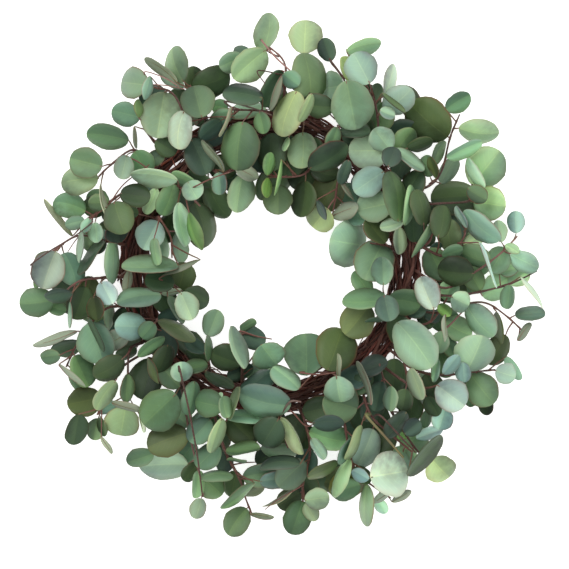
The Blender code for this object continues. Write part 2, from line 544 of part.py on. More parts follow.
def shell_tree(points, faces, normal, thickness):
    # Closed shell round an open surface, for finding what it would cross
    edges = {}
    for face in faces:
        for a, b in zip(face, face[1:] + face[:1]):
            edges[(a, b)] = True
    rim = [(a, b) for a, b in edges if (b, a) not in edges]
    count = len(points)
    spread = normal * (thickness / 2)
    verts = [point + spread for point in points] + [point - spread for point in points]
    shell = list(faces) + [tuple(number + count for number in reversed(face)) for face in faces]
    for a, b in rim:
        shell += [(b, a, a + count), (b, a + count, b + count)]
    return BVHTree.FromPolygons(verts, shell)


def mesh_tree(mesh):
    return BVHTree.FromPolygons([v.co for v in mesh.vertices], [tuple(p.vertices) for p in mesh.polygons])


def leaf_trees(place, form):
    points, blade, petiole = leaf_surface(place, form)
    thick = BLADE_THICKNESS + 2 * BLADE_GAP
    middle = place["middle"]
    widened = [middle + (point - middle) * SIDE_SPARE for point in points[:-4]] + points[-4:]
    return {"whole": shell_tree(widened, blade + petiole, place["face"], thick),
            "blade": shell_tree(widened, blade, place["face"], thick),
            "petiole": shell_tree(widened, petiole, place["face"], thick),
            "middle": middle, "reach": max((point - middle).length for point in points)}


def is_clear(trees, sprig, stems, ring_tree, placed):
    if trees["whole"].overlap(ring_tree):
        return False
    for number, stem in enumerate(stems):
        part = "blade" if number == sprig else "whole"
        if trees[part].overlap(stem):
            return False
    for other_sprig, other in placed:
        if (other["middle"] - trees["middle"]).length > other["reach"] + trees["reach"]:
            continue
        if other_sprig != sprig:
            if trees["whole"].overlap(other["whole"]):
                return False
        elif trees["blade"].overlap(other["whole"]) or trees["petiole"].overlap(other["blade"]):
            return False
    return True


def lowest_point(place, form):
    return min(point.z for point in leaf_surface(place, form)[0])


def arrange_leaves(paths, stems, ring_tree):
    # Frontmost leaves first: each takes the first of its tries that is clear of all before it
    order = [(sprig, number) for sprig, row in enumerate(SPRIGS) for number in range(len(row["leaves"]))]
    order.sort(key=lambda leaf: -int(SPRIGS[leaf[0]]["leaves"][leaf[1]][5][1]))
    placed = []
    leaves = [[] for _ in SPRIGS]
    for sprig, number in order:
        row = SPRIGS[sprig]["leaves"][number]
        form = leaf_form(row, 100 * sprig + number)
        for attempt in range(TRIES_EACH_SIZE * len(TRY_SIZES)):
            place = place_leaf(row, form, paths[sprig], attempt)
            if lowest_point(place, form) < LOWEST_LEAF:
                continue
            trees = leaf_trees(place, form)
            if is_clear(trees, sprig, stems, ring_tree, placed):
                placed.append((sprig, trees))
                leaves[sprig].append((place, form))
                break
        else:
            print("no room for leaf", number, "of sprig", sprig + 1, row)
    return leaves


def leaf_object(name, place, form, collection):
    points, blade, petiole = leaf_surface(place, form)
    mesh = bpy.data.meshes.new(name)
    mesh.from_pydata(points, [], blade + petiole)
    leaf = new_object(name, mesh, collection)
    solid = leaf.modifiers.new("thickness", "SOLIDIFY")
    solid.thickness = BLADE_THICKNESS
    solid.offset = 0
    leaf.modifiers.new("flat_facets", "TRIANGULATE")
    return leaf


def remove_slivers(mesh):
    # Points closer than a sliver's width become one, at the largest width that keeps the surface closed
    for width in SLIVERS:
        bm = bmesh.new()
        bm.from_mesh(mesh)
        bmesh.ops.remove_doubles(bm, verts=bm.verts, dist=width)
        bmesh.ops.triangulate(bm, faces=bm.faces)
        closed = all(len(edge.link_faces) == 2 for edge in bm.edges)
        if closed:
            bm.to_mesh(mesh)
        bm.free()
        if closed:
            return


def join_leaves(stem, leaves, name):
    repeats = new_collection(name + "_leaves")
    for number, (place, form) in enumerate(leaves):
        leaf_object(f"{name}_leaf_{number}", place, form, repeats)
    join = stem.modifiers.new("leaves", "BOOLEAN")
    join.operation = "UNION"
    join.operand_type = "COLLECTION"
    join.collection = repeats
    join.solver = "MANIFOLD"
    stem.modifiers.new("flat_facets", "TRIANGULATE")
    mesh = evaluated_mesh(stem)
    stem.modifiers.clear()
    remove_slivers(mesh)
    stem.data = mesh
    for leaf in list(repeats.objects):
        bpy.data.objects.remove(leaf)
    bpy.data.collections.remove(repeats)


def sprig_colour(sprig):
    tones = [TONES[leaf[5][0]] for leaf in sprig["leaves"]]
    return tuple(sum(tone[channel] for tone in tones) / len(tones) for channel in range(3))


def cut_sockets(ring, paths):
    cutters = new_collection("socket_cutters")
    for number, path in enumerate(paths):
        out = (path[1] - path[0]).normalized()
        reach = [path[0] - out * SOCKET_CLEARANCE, path[1] + out * BUTT_PROUD]
        radius = STEM_RADIUS + SOCKET_CLEARANCE * 2
        cutter = new_object(f"socket_{number + 1:02d}", tube_mesh("socket", reach, [radius] * 2), cutters)
        hide_guide(cutter)
    cut = ring.modifiers.new("sockets", "BOOLEAN")
    cut.operation = "DIFFERENCE"
    cut.operand_type = "COLLECTION"
    cut.collection = cutters
    cut.solver = "EXACT"


def build_wreath():
    remove_old_objects()
    wreath = new_collection("eucalyptus_wreath")
    ring = new_object("vine_ring", vine_ring_mesh(), wreath)
    ring.data.materials.append(new_material("vine", (0.10, 0.05, 0.035), 0.75))
    ring_tree = mesh_tree(ring.data)

    paths, stem_meshes, stems = grow_stems(ring_tree)
    leaves = arrange_leaves(paths, stems, ring_tree)
    for number, (mesh, own_leaves) in enumerate(zip(stem_meshes, leaves)):
        name = f"sprig_{number + 1:02d}"
        stem = new_object(name, mesh, wreath)
        join_leaves(stem, own_leaves, name)
        stem.data.materials.clear()
        stem.data.materials.append(new_material(name + "_green", sprig_colour(SPRIGS[number]), 0.55))
    cut_sockets(ring, paths)


build_wreath()
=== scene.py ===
import math
import random
import bpy
import numpy as np
from mathutils import Matrix, Vector
from mathutils.bvhtree import BVHTree
from mathutils.kdtree import KDTree


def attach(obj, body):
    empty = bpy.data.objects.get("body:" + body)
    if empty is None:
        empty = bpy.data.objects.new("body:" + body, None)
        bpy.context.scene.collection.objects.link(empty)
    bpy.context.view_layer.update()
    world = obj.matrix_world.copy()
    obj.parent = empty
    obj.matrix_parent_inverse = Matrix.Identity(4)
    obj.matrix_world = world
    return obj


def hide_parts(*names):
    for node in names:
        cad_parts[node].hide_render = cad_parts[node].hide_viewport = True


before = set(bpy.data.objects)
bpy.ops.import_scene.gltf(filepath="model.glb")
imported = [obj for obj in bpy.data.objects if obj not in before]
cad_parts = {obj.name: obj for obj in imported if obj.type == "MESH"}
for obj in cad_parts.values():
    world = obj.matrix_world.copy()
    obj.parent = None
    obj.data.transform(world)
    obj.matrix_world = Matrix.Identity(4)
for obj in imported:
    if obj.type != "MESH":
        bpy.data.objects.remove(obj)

mm = 0.001
up = Vector((0, 0, 1))
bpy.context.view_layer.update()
scene = bpy.context.scene

# Where the wreath lies: the photograph's pixels against the model, and the ring under the foliage
layout = {"widthMm": 560, "widthPixels": 525, "middlePixel": (284.5, 276), "ringMiddlePixel": (270, 262),
          "ringRadius": 146 * mm, "vineRadius": 18 * mm, "ridgeHeight": 1.7 * mm, "lowestAxis": 15 * mm,
          "waves": 3, "waveHeight": 2.2 * mm}
pixel = layout["widthMm"] * mm / layout["widthPixels"]

# How the foliage grows, as in the solids. Outwards and inwards the crown falls so far over such a reach
growth = {"stemRadius": 1.5 * mm, "stemTipRadius": 1.0 * mm, "buttLength": 11 * mm, "buttProud": 3 * mm,
          "buttLean": 0.72, "buttRise": 0.70, "stemStep": 30 * mm, "stemSink": 6 * mm, "stemRise": 3 * mm,
          "stemTries": 13, "rootSunk": 2.5 * mm, "largeLeaf": 31 * pixel, "crown": 62 * mm,
          "outerFall": (32 * mm, 145 * mm), "innerFall": (26 * mm, 70 * mm),
          "layers": (-24 * mm, -11 * mm, 2 * mm, 15 * mm, 24 * mm, -38 * mm), "riseStep": 3 * mm,
          "sizes": (1.0, 0.92, 0.82), "triesEachSize": 22, "deepTries": 13, "lowestLeaf": 4 * mm,
          "thickness": 0.7 * mm, "rimRadius": 0.52, "tipBroader": 0.12, "droopFrom": 0.3,
          "largeRim": (50, 95, 140, 180), "smallRim": (60, 115, 180), "misfitMost": 2 * mm}

# A leaf's true size and pose, told from how it is seen
leafPose = {"ratio": (0.80, 0.94), "edgeOnRatio": 0.45, "edgeOnBelow": 0.2, "leastRolled": 0.16,
            "leastPitched": 0.5, "pitchSpread": 0.10, "rollSpread": 0.08, "cup": (0.03, 0.10),
            "droop": (-0.02, 0.10), "heightSpread": 2 * mm, "roundAbove": 0.7, "farFromStem": 0.3,
            "petioleLean": 0.4}

# Where each kind of random draw starts
seeds = {"eachSprig": 100, "small": 50, "look": 5000, "smallLook": 9000, "deep": 20000, "deepLook": 30000,
         "stem": 300}

# Leaf colours as seen, by letter, and the marks that make one lighter, darker, warmer or cooler. The darker
# tones and the lighter and darker marks are partly a leaf's own colour and partly painted shade and painted
# light, for leaves deep among the others or open to the light
leafTones = {"c": (180, 212, 190), "p": (152, 198, 164), "l": (147, 190, 139), "y": (156, 190, 124),
             "v": (128, 190, 98), "s": (114, 160, 126), "g": (98, 142, 98), "b": (132, 178, 164),
             "t": (62, 94, 78), "d": (62, 92, 58), "o": (78, 101, 54), "k": (136, 154, 126)}
leafMarks = {"+": (1.35, 1.35, 1.35), "-": (0.74, 0.74, 0.74), "w": (1.08, 1.02, 0.85),
             "c": (0.93, 1.00, 1.10)}

# Each leafy stem: its course in pixels from the ring outwards, its leaves, and the small ones that
# only the dressed wreath has. A leaf is its middle, length, width, heading, and tone, layer and marks.
sprigs = [
    ([(278, 130), (281, 100), (291, 74), (279, 57), (263, 42)],
     [(267, 33, 38, 24, 75, "l2"), (250, 66, 42, 28, 222, "l3"), (231, 62, 25, 19, 150, "s2+"),
      (242, 53, 18, 17, 110, "s1--"), (273, 89, 40, 22, 245, "d2+"), (277, 95, 36, 5, 255, "k3--w")],
     [(291, 81, 20, 18, 300, "s3")]),
    ([(305, 127), (303, 105), (306, 80), (304, 53)],
     [(305, 36, 34, 34, 90, "y1"), (308, 77, 48, 36, 268, "g2"), (289, 115, 47, 32, 250, "y3"),
      (302, 151, 36, 29, 262, "l2-")],
     [(286, 145, 14, 7, 250, "l2"), (305, 110, 30, 9, 245, "y3")]),
    ([(336, 130), (352, 104), (345, 82), (330, 61)],
     [(327, 50, 24, 18, 98, "t2"), (331, 87, 29, 34, 187, "s1"), (349, 70, 30, 18, 112, "l1ww"),
      (351, 107, 50, 42, 262, "s3w"), (333, 140, 25, 15, 250, "g3+"), (318, 106, 32, 24, 150, "t1+ww")],
     []),
    ([(366, 152), (378, 128), (373, 95), (369, 83)],
     [(361, 69, 33, 33, 125, "b3w"), (364, 47, 36, 15, 14, "s1++"), (389, 80, 32, 13, 75, "c2w"),
      (398, 101, 34, 29, 140, "b2"), (393, 104, 30, 5, 320, "o3+"), (410, 102, 38, 22, 105, "o0"),
      (380, 118, 34, 26, 60, "d0++")],
     [(387, 114, 16, 12, 300, "p2"), (372, 121, 22, 12, 40, "d0+w"), (376, 94, 22, 15, 80, "d1++")]),
    ([(388, 190), (425, 188), (441, 172), (450, 138), (460, 114)],
     [(458, 102, 28, 19, 32, "g2"), (479, 131, 40, 21, 352, "l2+cc"), (429, 120, 50, 43, 135, "o1"),
      (464, 151, 38, 14, 22, "s3++"), (438, 154, 28, 10, 65, "g2-"), (449, 170, 30, 15, 60, "s1-")],
     [(432, 168, 22, 8, 110, "o2")]),
    ([(396, 208), (428, 203), (458, 205), (474, 197), (472, 184)],
     [(486, 168, 42, 40, 40, "l2cc"), (489, 204, 28, 34, 350, "l2+"), (474, 175, 34, 13, 125, "p3++"),
      (476, 195, 22, 18, 330, "g3-"), (455, 197, 47, 32, 185, "d2")], []),
    ([(408, 236), (438, 256), (456, 250), (466, 230), (463, 213)],
     [(481, 226, 46, 20, 318, "p3"), (450, 236, 34, 22, 100, "o1++"), (440, 222, 32, 22, 80, "d2"),
      (488, 265, 48, 4, 292, "c3++")],
     [(461, 217, 24, 8, 118, "b2+"), (474, 240, 22, 14, 30, "l1+++")]),
    ([(410, 264), (440, 288), (462, 281), (488, 262), (505, 250), (518, 236)],
     [(516, 222, 22, 18, 88, "b2+cc"), (525, 261, 31, 22, 345, "p2+"), (498, 260, 28, 26, 280, "s1c"),
      (475, 257, 34, 23, 160, "g2"), (500, 231, 22, 14, 100, "p1"), (455, 272, 36, 28, 200, "d0-w")],
     [(512, 249, 16, 10, 330, "l2+")]),
    ([(410, 284), (445, 296), (478, 292), (510, 284), (538, 271)],
     [(520, 277, 24, 18, 20, "l1+"), (532, 292, 38, 4, 308, "c3"), (497, 287, 32, 27, 35, "s1++w"),
      (508, 297, 24, 14, 262, "g2+"), (474, 279, 26, 22, 120, "g1"), (459, 301, 20, 22, 345, "p3")], []),
    ([(405, 312), (445, 312), (475, 301), (500, 311), (528, 335)],
     [(531, 314, 30, 14, 5, "t2++"), (480, 321, 40, 26, 310, "p2"), (498, 328, 32, 9, 275, "o2ww"),
      (498, 350, 34, 24, 262, "o1-")],
     [(525, 332, 22, 7, 55, "k2-")]),
    ([(402, 326), (424, 331), (436, 310), (447, 298)],
     [(426, 293, 34, 24, 105, "c3c"), (449, 290, 22, 20, 80, "g2++")],
     [(444, 310, 16, 12, 320, "v2")]),
    ([(402, 340), (430, 337), (447, 327), (462, 312)],
     [(458, 329, 30, 26, 330, "g1++c"), (440, 342, 22, 18, 250, "s2")],
     [(444, 328, 27, 5, 272, "k3+"), (449, 347, 24, 14, 300, "g1")]),
    ([(394, 354), (425, 374), (460, 373), (496, 370)],
     [(474, 353, 35, 40, 82, "l3cc"), (450, 364, 24, 15, 52, "b3c"), (463, 372, 20, 16, 275, "b3cc"),
      (506, 374, 22, 22, 335, "p2c"), (514, 369, 28, 9, 300, "s1++c"), (482, 389, 32, 33, 310, "g2c")],
     [(472, 401, 14, 13, 250, "g1c"), (435, 370, 24, 8, 80, "s2+++"), (487, 406, 20, 14, 275, "d1--")]),
    ([(386, 374), (416, 388), (443, 386), (446, 408)],
     [(450, 395, 32, 33, 300, "c3"), (442, 419, 21, 22, 265, "b2+"), (430, 434, 28, 14, 200, "b1+"),
      (412, 408, 30, 24, 250, "d0")],
     [(426, 419, 18, 11, 260, "d1")]),
    ([(388, 338), (398, 352), (406, 364), (408, 380)],
     [(413, 345, 56, 37, 306, "p3"), (414, 384, 40, 15, 286, "p3"), (424, 388, 32, 14, 285, "g2--"),
      (394, 376, 34, 28, 255, "d0")],
     [(404, 400, 22, 20, 250, "g1--")]),
    ([(400, 294), (384, 299), (366, 303)],
     [(364, 299, 44, 23, 180, "g3+c"), (357, 320, 36, 35, 225, "o2+w+"), (362, 283, 28, 20, 150, "g2+"),
      (382, 271, 28, 22, 60, "s3"), (404, 302, 34, 26, 80, "g2-")],
     [(386, 308, 26, 24, 250, "s2--"), (376, 319, 24, 5, 190, "t3+")]),
    ([(402, 256), (388, 246), (370, 243)],
     [(374, 260, 42, 40, 250, "s3"), (350, 243, 36, 49, 185, "s2++"), (376, 231, 30, 22, 185, "o2"),
      (398, 241, 27, 15, 272, "p3-"), (391, 225, 24, 15, 195, "p3")], []),
    ([(400, 232), (406, 207), (403, 180), (385, 168)],
     [(368, 182, 35, 29, 215, "b3"), (395, 197, 50, 24, 95, "g2"), (408, 206, 40, 13, 78, "g3++"),
      (391, 158, 20, 20, 48, "t3"), (374, 207, 36, 32, 150, "s2"), (414, 186, 34, 24, 80, "d0")], []),
    ([(374, 172), (390, 165), (396, 149)],
     [(409, 160, 36, 12, 325, "p3"), (404, 141, 30, 22, 60, "g1"), (382, 140, 28, 26, 120, "p2c"),
      (369, 151, 38, 36, 200, "p2c")], []),
    ([(347, 158), (338, 180), (335, 202)],
     [(344, 173, 25, 13, 250, "t3+"), (346, 211, 26, 17, 20, "k2cc"), (328, 192, 46, 34, 235, "o1"),
      (320, 218, 23, 30, 250, "y2")],
     [(346, 190, 26, 5, 305, "k3--"), (321, 210, 22, 8, 292, "t3")]),
    ([(322, 146), (310, 168), (296, 178), (272, 177)],
     [(328, 158, 44, 24, 30, "d2"), (303, 199, 36, 24, 262, "d2-w"), (278, 199, 26, 30, 265, "g2-w"),
      (279, 178, 36, 5, 262, "v3"), (263, 186, 28, 14, 262, "d1"), (272, 152, 38, 30, 95, "d0")],
     [(267, 188, 20, 11, 262, "v3"), (269, 164, 23, 12, 80, "v2+")]),
    ([(206, 160), (214, 174), (224, 171), (240, 168)],
     [(220, 184, 22, 16, 268, "s3"), (217, 201, 38, 24, 300, "d1+"), (241, 193, 40, 26, 262, "l2"),
      (213, 157, 38, 7, 128, "k3")],
     [(247, 173, 20, 15, 100, "k3++")]),
    ([(258, 130), (266, 114), (250, 108), (232, 110)],
     [(243, 96, 40, 22, 170, "t2"), (247, 112, 38, 16, 190, "s1"), (226, 123, 32, 4, 248, "k3"),
      (240, 147, 48, 38, 262, "g3-"), (211, 130, 27, 20, 200, "t2")],
     [(262, 124, 22, 18, 280, "g3"), (220, 107, 17, 16, 160, "g1++")]),
    ([(212, 140), (206, 122), (198, 100), (190, 85)],
     [(211, 81, 40, 32, 350, "d1w"), (177, 65, 38, 23, 112, "s2ww"), (161, 71, 40, 11, 144, "k2"),
      (198, 102, 33, 34, 105, "g3-"), (181, 131, 38, 26, 258, "c3"), (193, 79, 26, 20, 140, "d1+w")],
     [(191, 114, 24, 11, 115, "k2")]),
    ([(190, 150), (184, 115), (172, 93), (150, 86)],
     [(134, 84, 27, 32, 178, "s2"), (161, 114, 46, 42, 262, "p2-"), (199, 157, 38, 30, 290, "t1")],
     [(148, 89, 24, 8, 255, "p3")]),
    ([(168, 158), (150, 138), (142, 122), (139, 112)],
     [(126, 114, 29, 25, 158, "s2"), (166, 147, 24, 20, 300, "d1")],
     [(139, 109, 18, 7, 92, "o2++"), (136, 138, 22, 4, 275, "k2")]),
    ([(154, 174), (134, 150), (110, 166), (94, 182)],
     [(108, 137, 42, 26, 170, "g2"), (87, 163, 33, 31, 172, "g3"), (80, 181, 38, 30, 178, "l2-"),
      (142, 164, 28, 27, 280, "g2"), (125, 168, 24, 20, 250, "b3"), (107, 206, 44, 4, 284, "k3++w+")],
     []),
    ([(146, 200), (128, 190), (108, 205), (94, 215), (81, 226)],
     [(70, 206, 33, 27, 190, "g2"), (58, 218, 46, 5, 129, "k2++"), (76, 223, 20, 15, 200, "s3"),
      (97, 233, 20, 16, 250, "p2+"), (121, 218, 33, 31, 300, "g3-w-"), (136, 196, 30, 24, 270, "d1-")],
     [(88, 226, 15, 11, 200, "s3+"), (99, 203, 20, 18, 240, "g2"), (110, 212, 20, 14, 230, "d2--"),
      (118, 233, 20, 26, 270, "t1---")]),
    ([(132, 246), (105, 241), (77, 236), (45, 257), (32, 265)],
     [(81, 246, 34, 12, 262, "p3-"), (92, 258, 42, 14, 232, "d2"), (50, 270, 38, 34, 260, "c3--c"),
      (70, 269, 34, 26, 285, "s2"), (112, 262, 44, 16, 268, "s2+")],
     [(38, 281, 16, 9, 240, "v1---"), (45, 257, 22, 14, 205, "s2w")]),
    ([(130, 276), (100, 278), (78, 282), (54, 301)],
     [(108, 293, 24, 20, 270, "c3cc"), (86, 293, 34, 28, 250, "o1"), (60, 295, 34, 18, 190, "t1"),
      (37, 302, 34, 30, 200, "g2"), (71, 315, 26, 11, 268, "s3"), (80, 303, 34, 28, 235, "d2"),
      (128, 282, 26, 8, 262, "k2-")],
     [(97, 308, 24, 18, 290, "o1--")]),
    ([(138, 212), (155, 218), (171, 222), (170, 245), (172, 258)],
     [(151, 265, 56, 21, 178, "s2+c"), (157, 252, 27, 14, 280, "l3"), (151, 235, 30, 29, 250, "b2+"),
      (180, 247, 32, 18, 275, "s2"), (182, 269, 42, 3, 205, "k3--")], []),
    ([(158, 186), (180, 184), (192, 200), (200, 206)],
     [(155, 179, 46, 14, 175, "p3+"), (184, 180, 28, 16, 335, "g2++"), (193, 191, 20, 22, 300, "p3w"),
      (168, 200, 33, 22, 250, "g2+"), (151, 201, 28, 14, 245, "l2+"), (200, 225, 46, 30, 285, "t2ww"),
      (182, 225, 44, 18, 280, "p3+"), (195, 232, 39, 15, 287, "v3-ww"), (168, 226, 34, 22, 250, "d0")],
     []),
    ([(142, 286), (162, 280), (174, 284), (184, 293)],
     [(187, 306, 29, 24, 265, "p3"), (196, 298, 26, 24, 320, "d2"), (176, 310, 31, 9, 300, "s3--"),
      (182, 277, 30, 28, 60, "o1"), (140, 297, 44, 17, 185, "s3")],
     [(172, 292, 20, 7, 190, "k2++"), (160, 281, 32, 24, 160, "d0")]),
    ([(140, 342), (150, 330), (158, 318)],
     [(132, 326, 32, 28, 195, "b3cc"), (149, 330, 24, 22, 280, "g2-"), (177, 331, 42, 12, 328, "o3"),
      (116, 340, 28, 20, 220, "k2+")], []),
    ([(132, 306), (108, 308), (92, 322), (76, 346), (66, 367)],
     [(97, 343, 42, 36, 290, "s2"), (97, 334, 38, 6, 297, "g3---"), (55, 338, 46, 8, 198, "k2"),
      (66, 347, 32, 18, 195, "t2ww"), (51, 356, 20, 15, 245, "g3"), (82, 371, 34, 24, 285, "g2+w"),
      (73, 375, 34, 6, 320, "k3"), (77, 380, 26, 14, 300, "s1"), (109, 315, 30, 8, 268, "s2++")], []),
    ([(152, 336), (130, 350), (128, 378), (127, 402)],
     [(110, 367, 34, 26, 225, "d2"), (127, 388, 28, 14, 265, "g2w"), (127, 406, 30, 9, 345, "k2-"),
      (123, 421, 27, 35, 268, "l2")],
     [(142, 424, 18, 5, 285, "k1++++")]),
    ([(146, 354), (124, 364), (117, 380), (104, 402), (97, 415)],
     [(107, 395, 34, 18, 235, "l3"), (85, 401, 34, 30, 205, "o2"), (77, 430, 32, 22, 262, "d2")],
     [(102, 427, 20, 10, 285, "d1+"), (106, 446, 20, 5, 305, "k1++"), (95, 430, 22, 18, 265, "g1+")]),
    ([(180, 366), (182, 388), (186, 412), (191, 440), (198, 470), (203, 496)],
     [(182, 371, 20, 22, 270, "p3"), (160, 409, 44, 40, 245, "g3-"), (192, 398, 34, 15, 260, "s2"),
      (168, 440, 42, 32, 200, "o2w"), (163, 466, 50, 34, 183, "p1"), (140, 458, 28, 20, 215, "g2w"),
      (197, 484, 28, 12, 265, "s2++w"), (211, 486, 28, 26, 290, "g2+"), (217, 475, 32, 14, 8, "s3-w"),
      (198, 509, 21, 16, 262, "p2-")],
     [(190, 472, 22, 16, 230, "d1")]),
    ([(166, 346), (154, 358), (150, 372)],
     [(147, 379, 42, 34, 250, "d1--"), (154, 370, 28, 7, 292, "o2"), (152, 346, 32, 13, 215, "g3+")],
     []),
    ([(210, 388), (209, 362), (207, 336)],
     [(213, 323, 28, 22, 50, "s2"), (208, 348, 26, 7, 90, "g3-"), (220, 379, 32, 11, 335, "t3w")],
     [(195, 346, 24, 15, 145, "t2"), (196, 366, 24, 15, 190, "g2-")]),
    ([(216, 392), (214, 412), (224, 448), (240, 480), (246, 500), (252, 515)],
     [(200, 430, 30, 24, 240, "s2-"), (218, 435, 36, 13, 255, "l3+"), (208, 456, 30, 22, 235, "g2-"),
      (243, 448, 34, 13, 12, "g2"), (234, 485, 28, 22, 270, "o1"), (238, 495, 42, 15, 220, "g3w"),
      (237, 522, 32, 24, 240, "g2"), (240, 430, 34, 26, 300, "o1")],
     [(237, 460, 20, 5, 355, "g2"), (254, 492, 22, 10, 20, "o1"), (262, 516, 24, 6, 352, "k2"),
      (225, 462, 22, 18, 265, "t1")]),
    ([(250, 390), (238, 398), (230, 410), (226, 421)],
     [(209, 403, 28, 28, 170, "g2-"), (235, 402, 33, 8, 75, "l3-w"), (244, 418, 42, 17, 355, "s2+c+")],
     [(217, 401, 21, 7, 60, "l3++"), (226, 406, 22, 14, 100, "s2")]),
    ([(244, 388), (242, 362), (241, 335), (258, 337)],
     [(269, 355, 30, 34, 300, "s3+"), (238, 347, 44, 12, 288, "p3"), (252, 338, 28, 22, 320, "t1"),
      (226, 358, 32, 28, 150, "d1")],
     [(248, 325, 18, 9, 30, "g2+")]),
    ([(284, 400), (282, 412), (278, 424), (288, 448)],
     [(265, 399, 52, 35, 168, "s2c"), (257, 384, 40, 20, 40, "t2"), (270, 432, 32, 32, 245, "g2---"),
      (292, 435, 42, 14, 300, "p3+w"), (280, 451, 38, 17, 185, "g2-c")], []),
    ([(296, 398), (306, 426), (310, 452), (303, 484), (303, 502)],
     [(262, 476, 38, 24, 185, "s2c"), (292, 474, 36, 28, 250, "s2-c"), (280, 463, 40, 12, 180, "t2"),
      (306, 463, 28, 24, 250, "t2+cc"), (289, 500, 26, 22, 240, "d1"), (297, 518, 34, 28, 258, "g2-w"),
      (317, 498, 24, 22, 60, "l3"), (311, 512, 20, 14, 300, "p2-w"), (280, 498, 38, 3, 215, "k2"),
      (323, 470, 34, 13, 20, "o2+c"), (328, 422, 31, 15, 2, "t4"), (330, 437, 42, 28, 345, "g1+++")],
     [(318, 448, 24, 11, 305, "p3"), (308, 487, 30, 24, 300, "d0")]),
    ([(352, 382), (335, 372), (304, 372)],
     [(335, 349, 44, 42, 70, "o1"), (306, 354, 38, 44, 80, "g2"), (286, 377, 34, 21, 140, "l3c"),
      (338, 389, 26, 30, 275, "p4cc")],
     [(338, 366, 26, 5, 90, "k3")]),
    ([(362, 376), (370, 414), (388, 432), (412, 452)],
     [(341, 404, 46, 50, 170, "g2"), (365, 448, 40, 30, 265, "b2"), (354, 442, 37, 8, 250, "l3-w"),
      (365, 382, 46, 4, 105, "k3-"), (383, 443, 34, 26, 250, "d0")],
     [(404, 435, 16, 9, 30, "v1"), (413, 455, 16, 9, 300, "g1++")]),
    ([(376, 380), (392, 412), (416, 450), (434, 460)],
     [(424, 455, 52, 17, 50, "d2"), (442, 470, 34, 34, 315, "y1+"), (396, 424, 34, 24, 230, "t0-")],
     [(412, 427, 20, 18, 60, "t2")]),
    ([(338, 392), (346, 430), (352, 465), (366, 481), (391, 499)],
     [(346, 450, 30, 12, 240, "s1c"), (341, 477, 42, 10, 245, "l3w"), (348, 486, 38, 30, 240, "o1ww"),
      (367, 506, 42, 15, 268, "l2c"), (390, 473, 38, 46, 15, "c3+c")],
     [(360, 474, 19, 12, 150, "b3"), (382, 507, 18, 12, 300, "p1++"), (382, 497, 22, 9, 215, "k2cc"),
      (402, 497, 22, 9, 30, "k2")]),
    ([(378, 344), (380, 366), (385, 386)],
     [(373, 366, 30, 22, 200, "t1--"), (390, 398, 25, 13, 265, "s3"), (378, 396, 30, 18, 260, "t2")],
     []),
    ([(412, 250), (428, 246), (434, 228), (433, 212)],
     [(424, 237, 48, 6, 245, "s3-"), (420, 208, 36, 18, 100, "o1"), (436, 264, 34, 28, 290, "g1")], []),
]
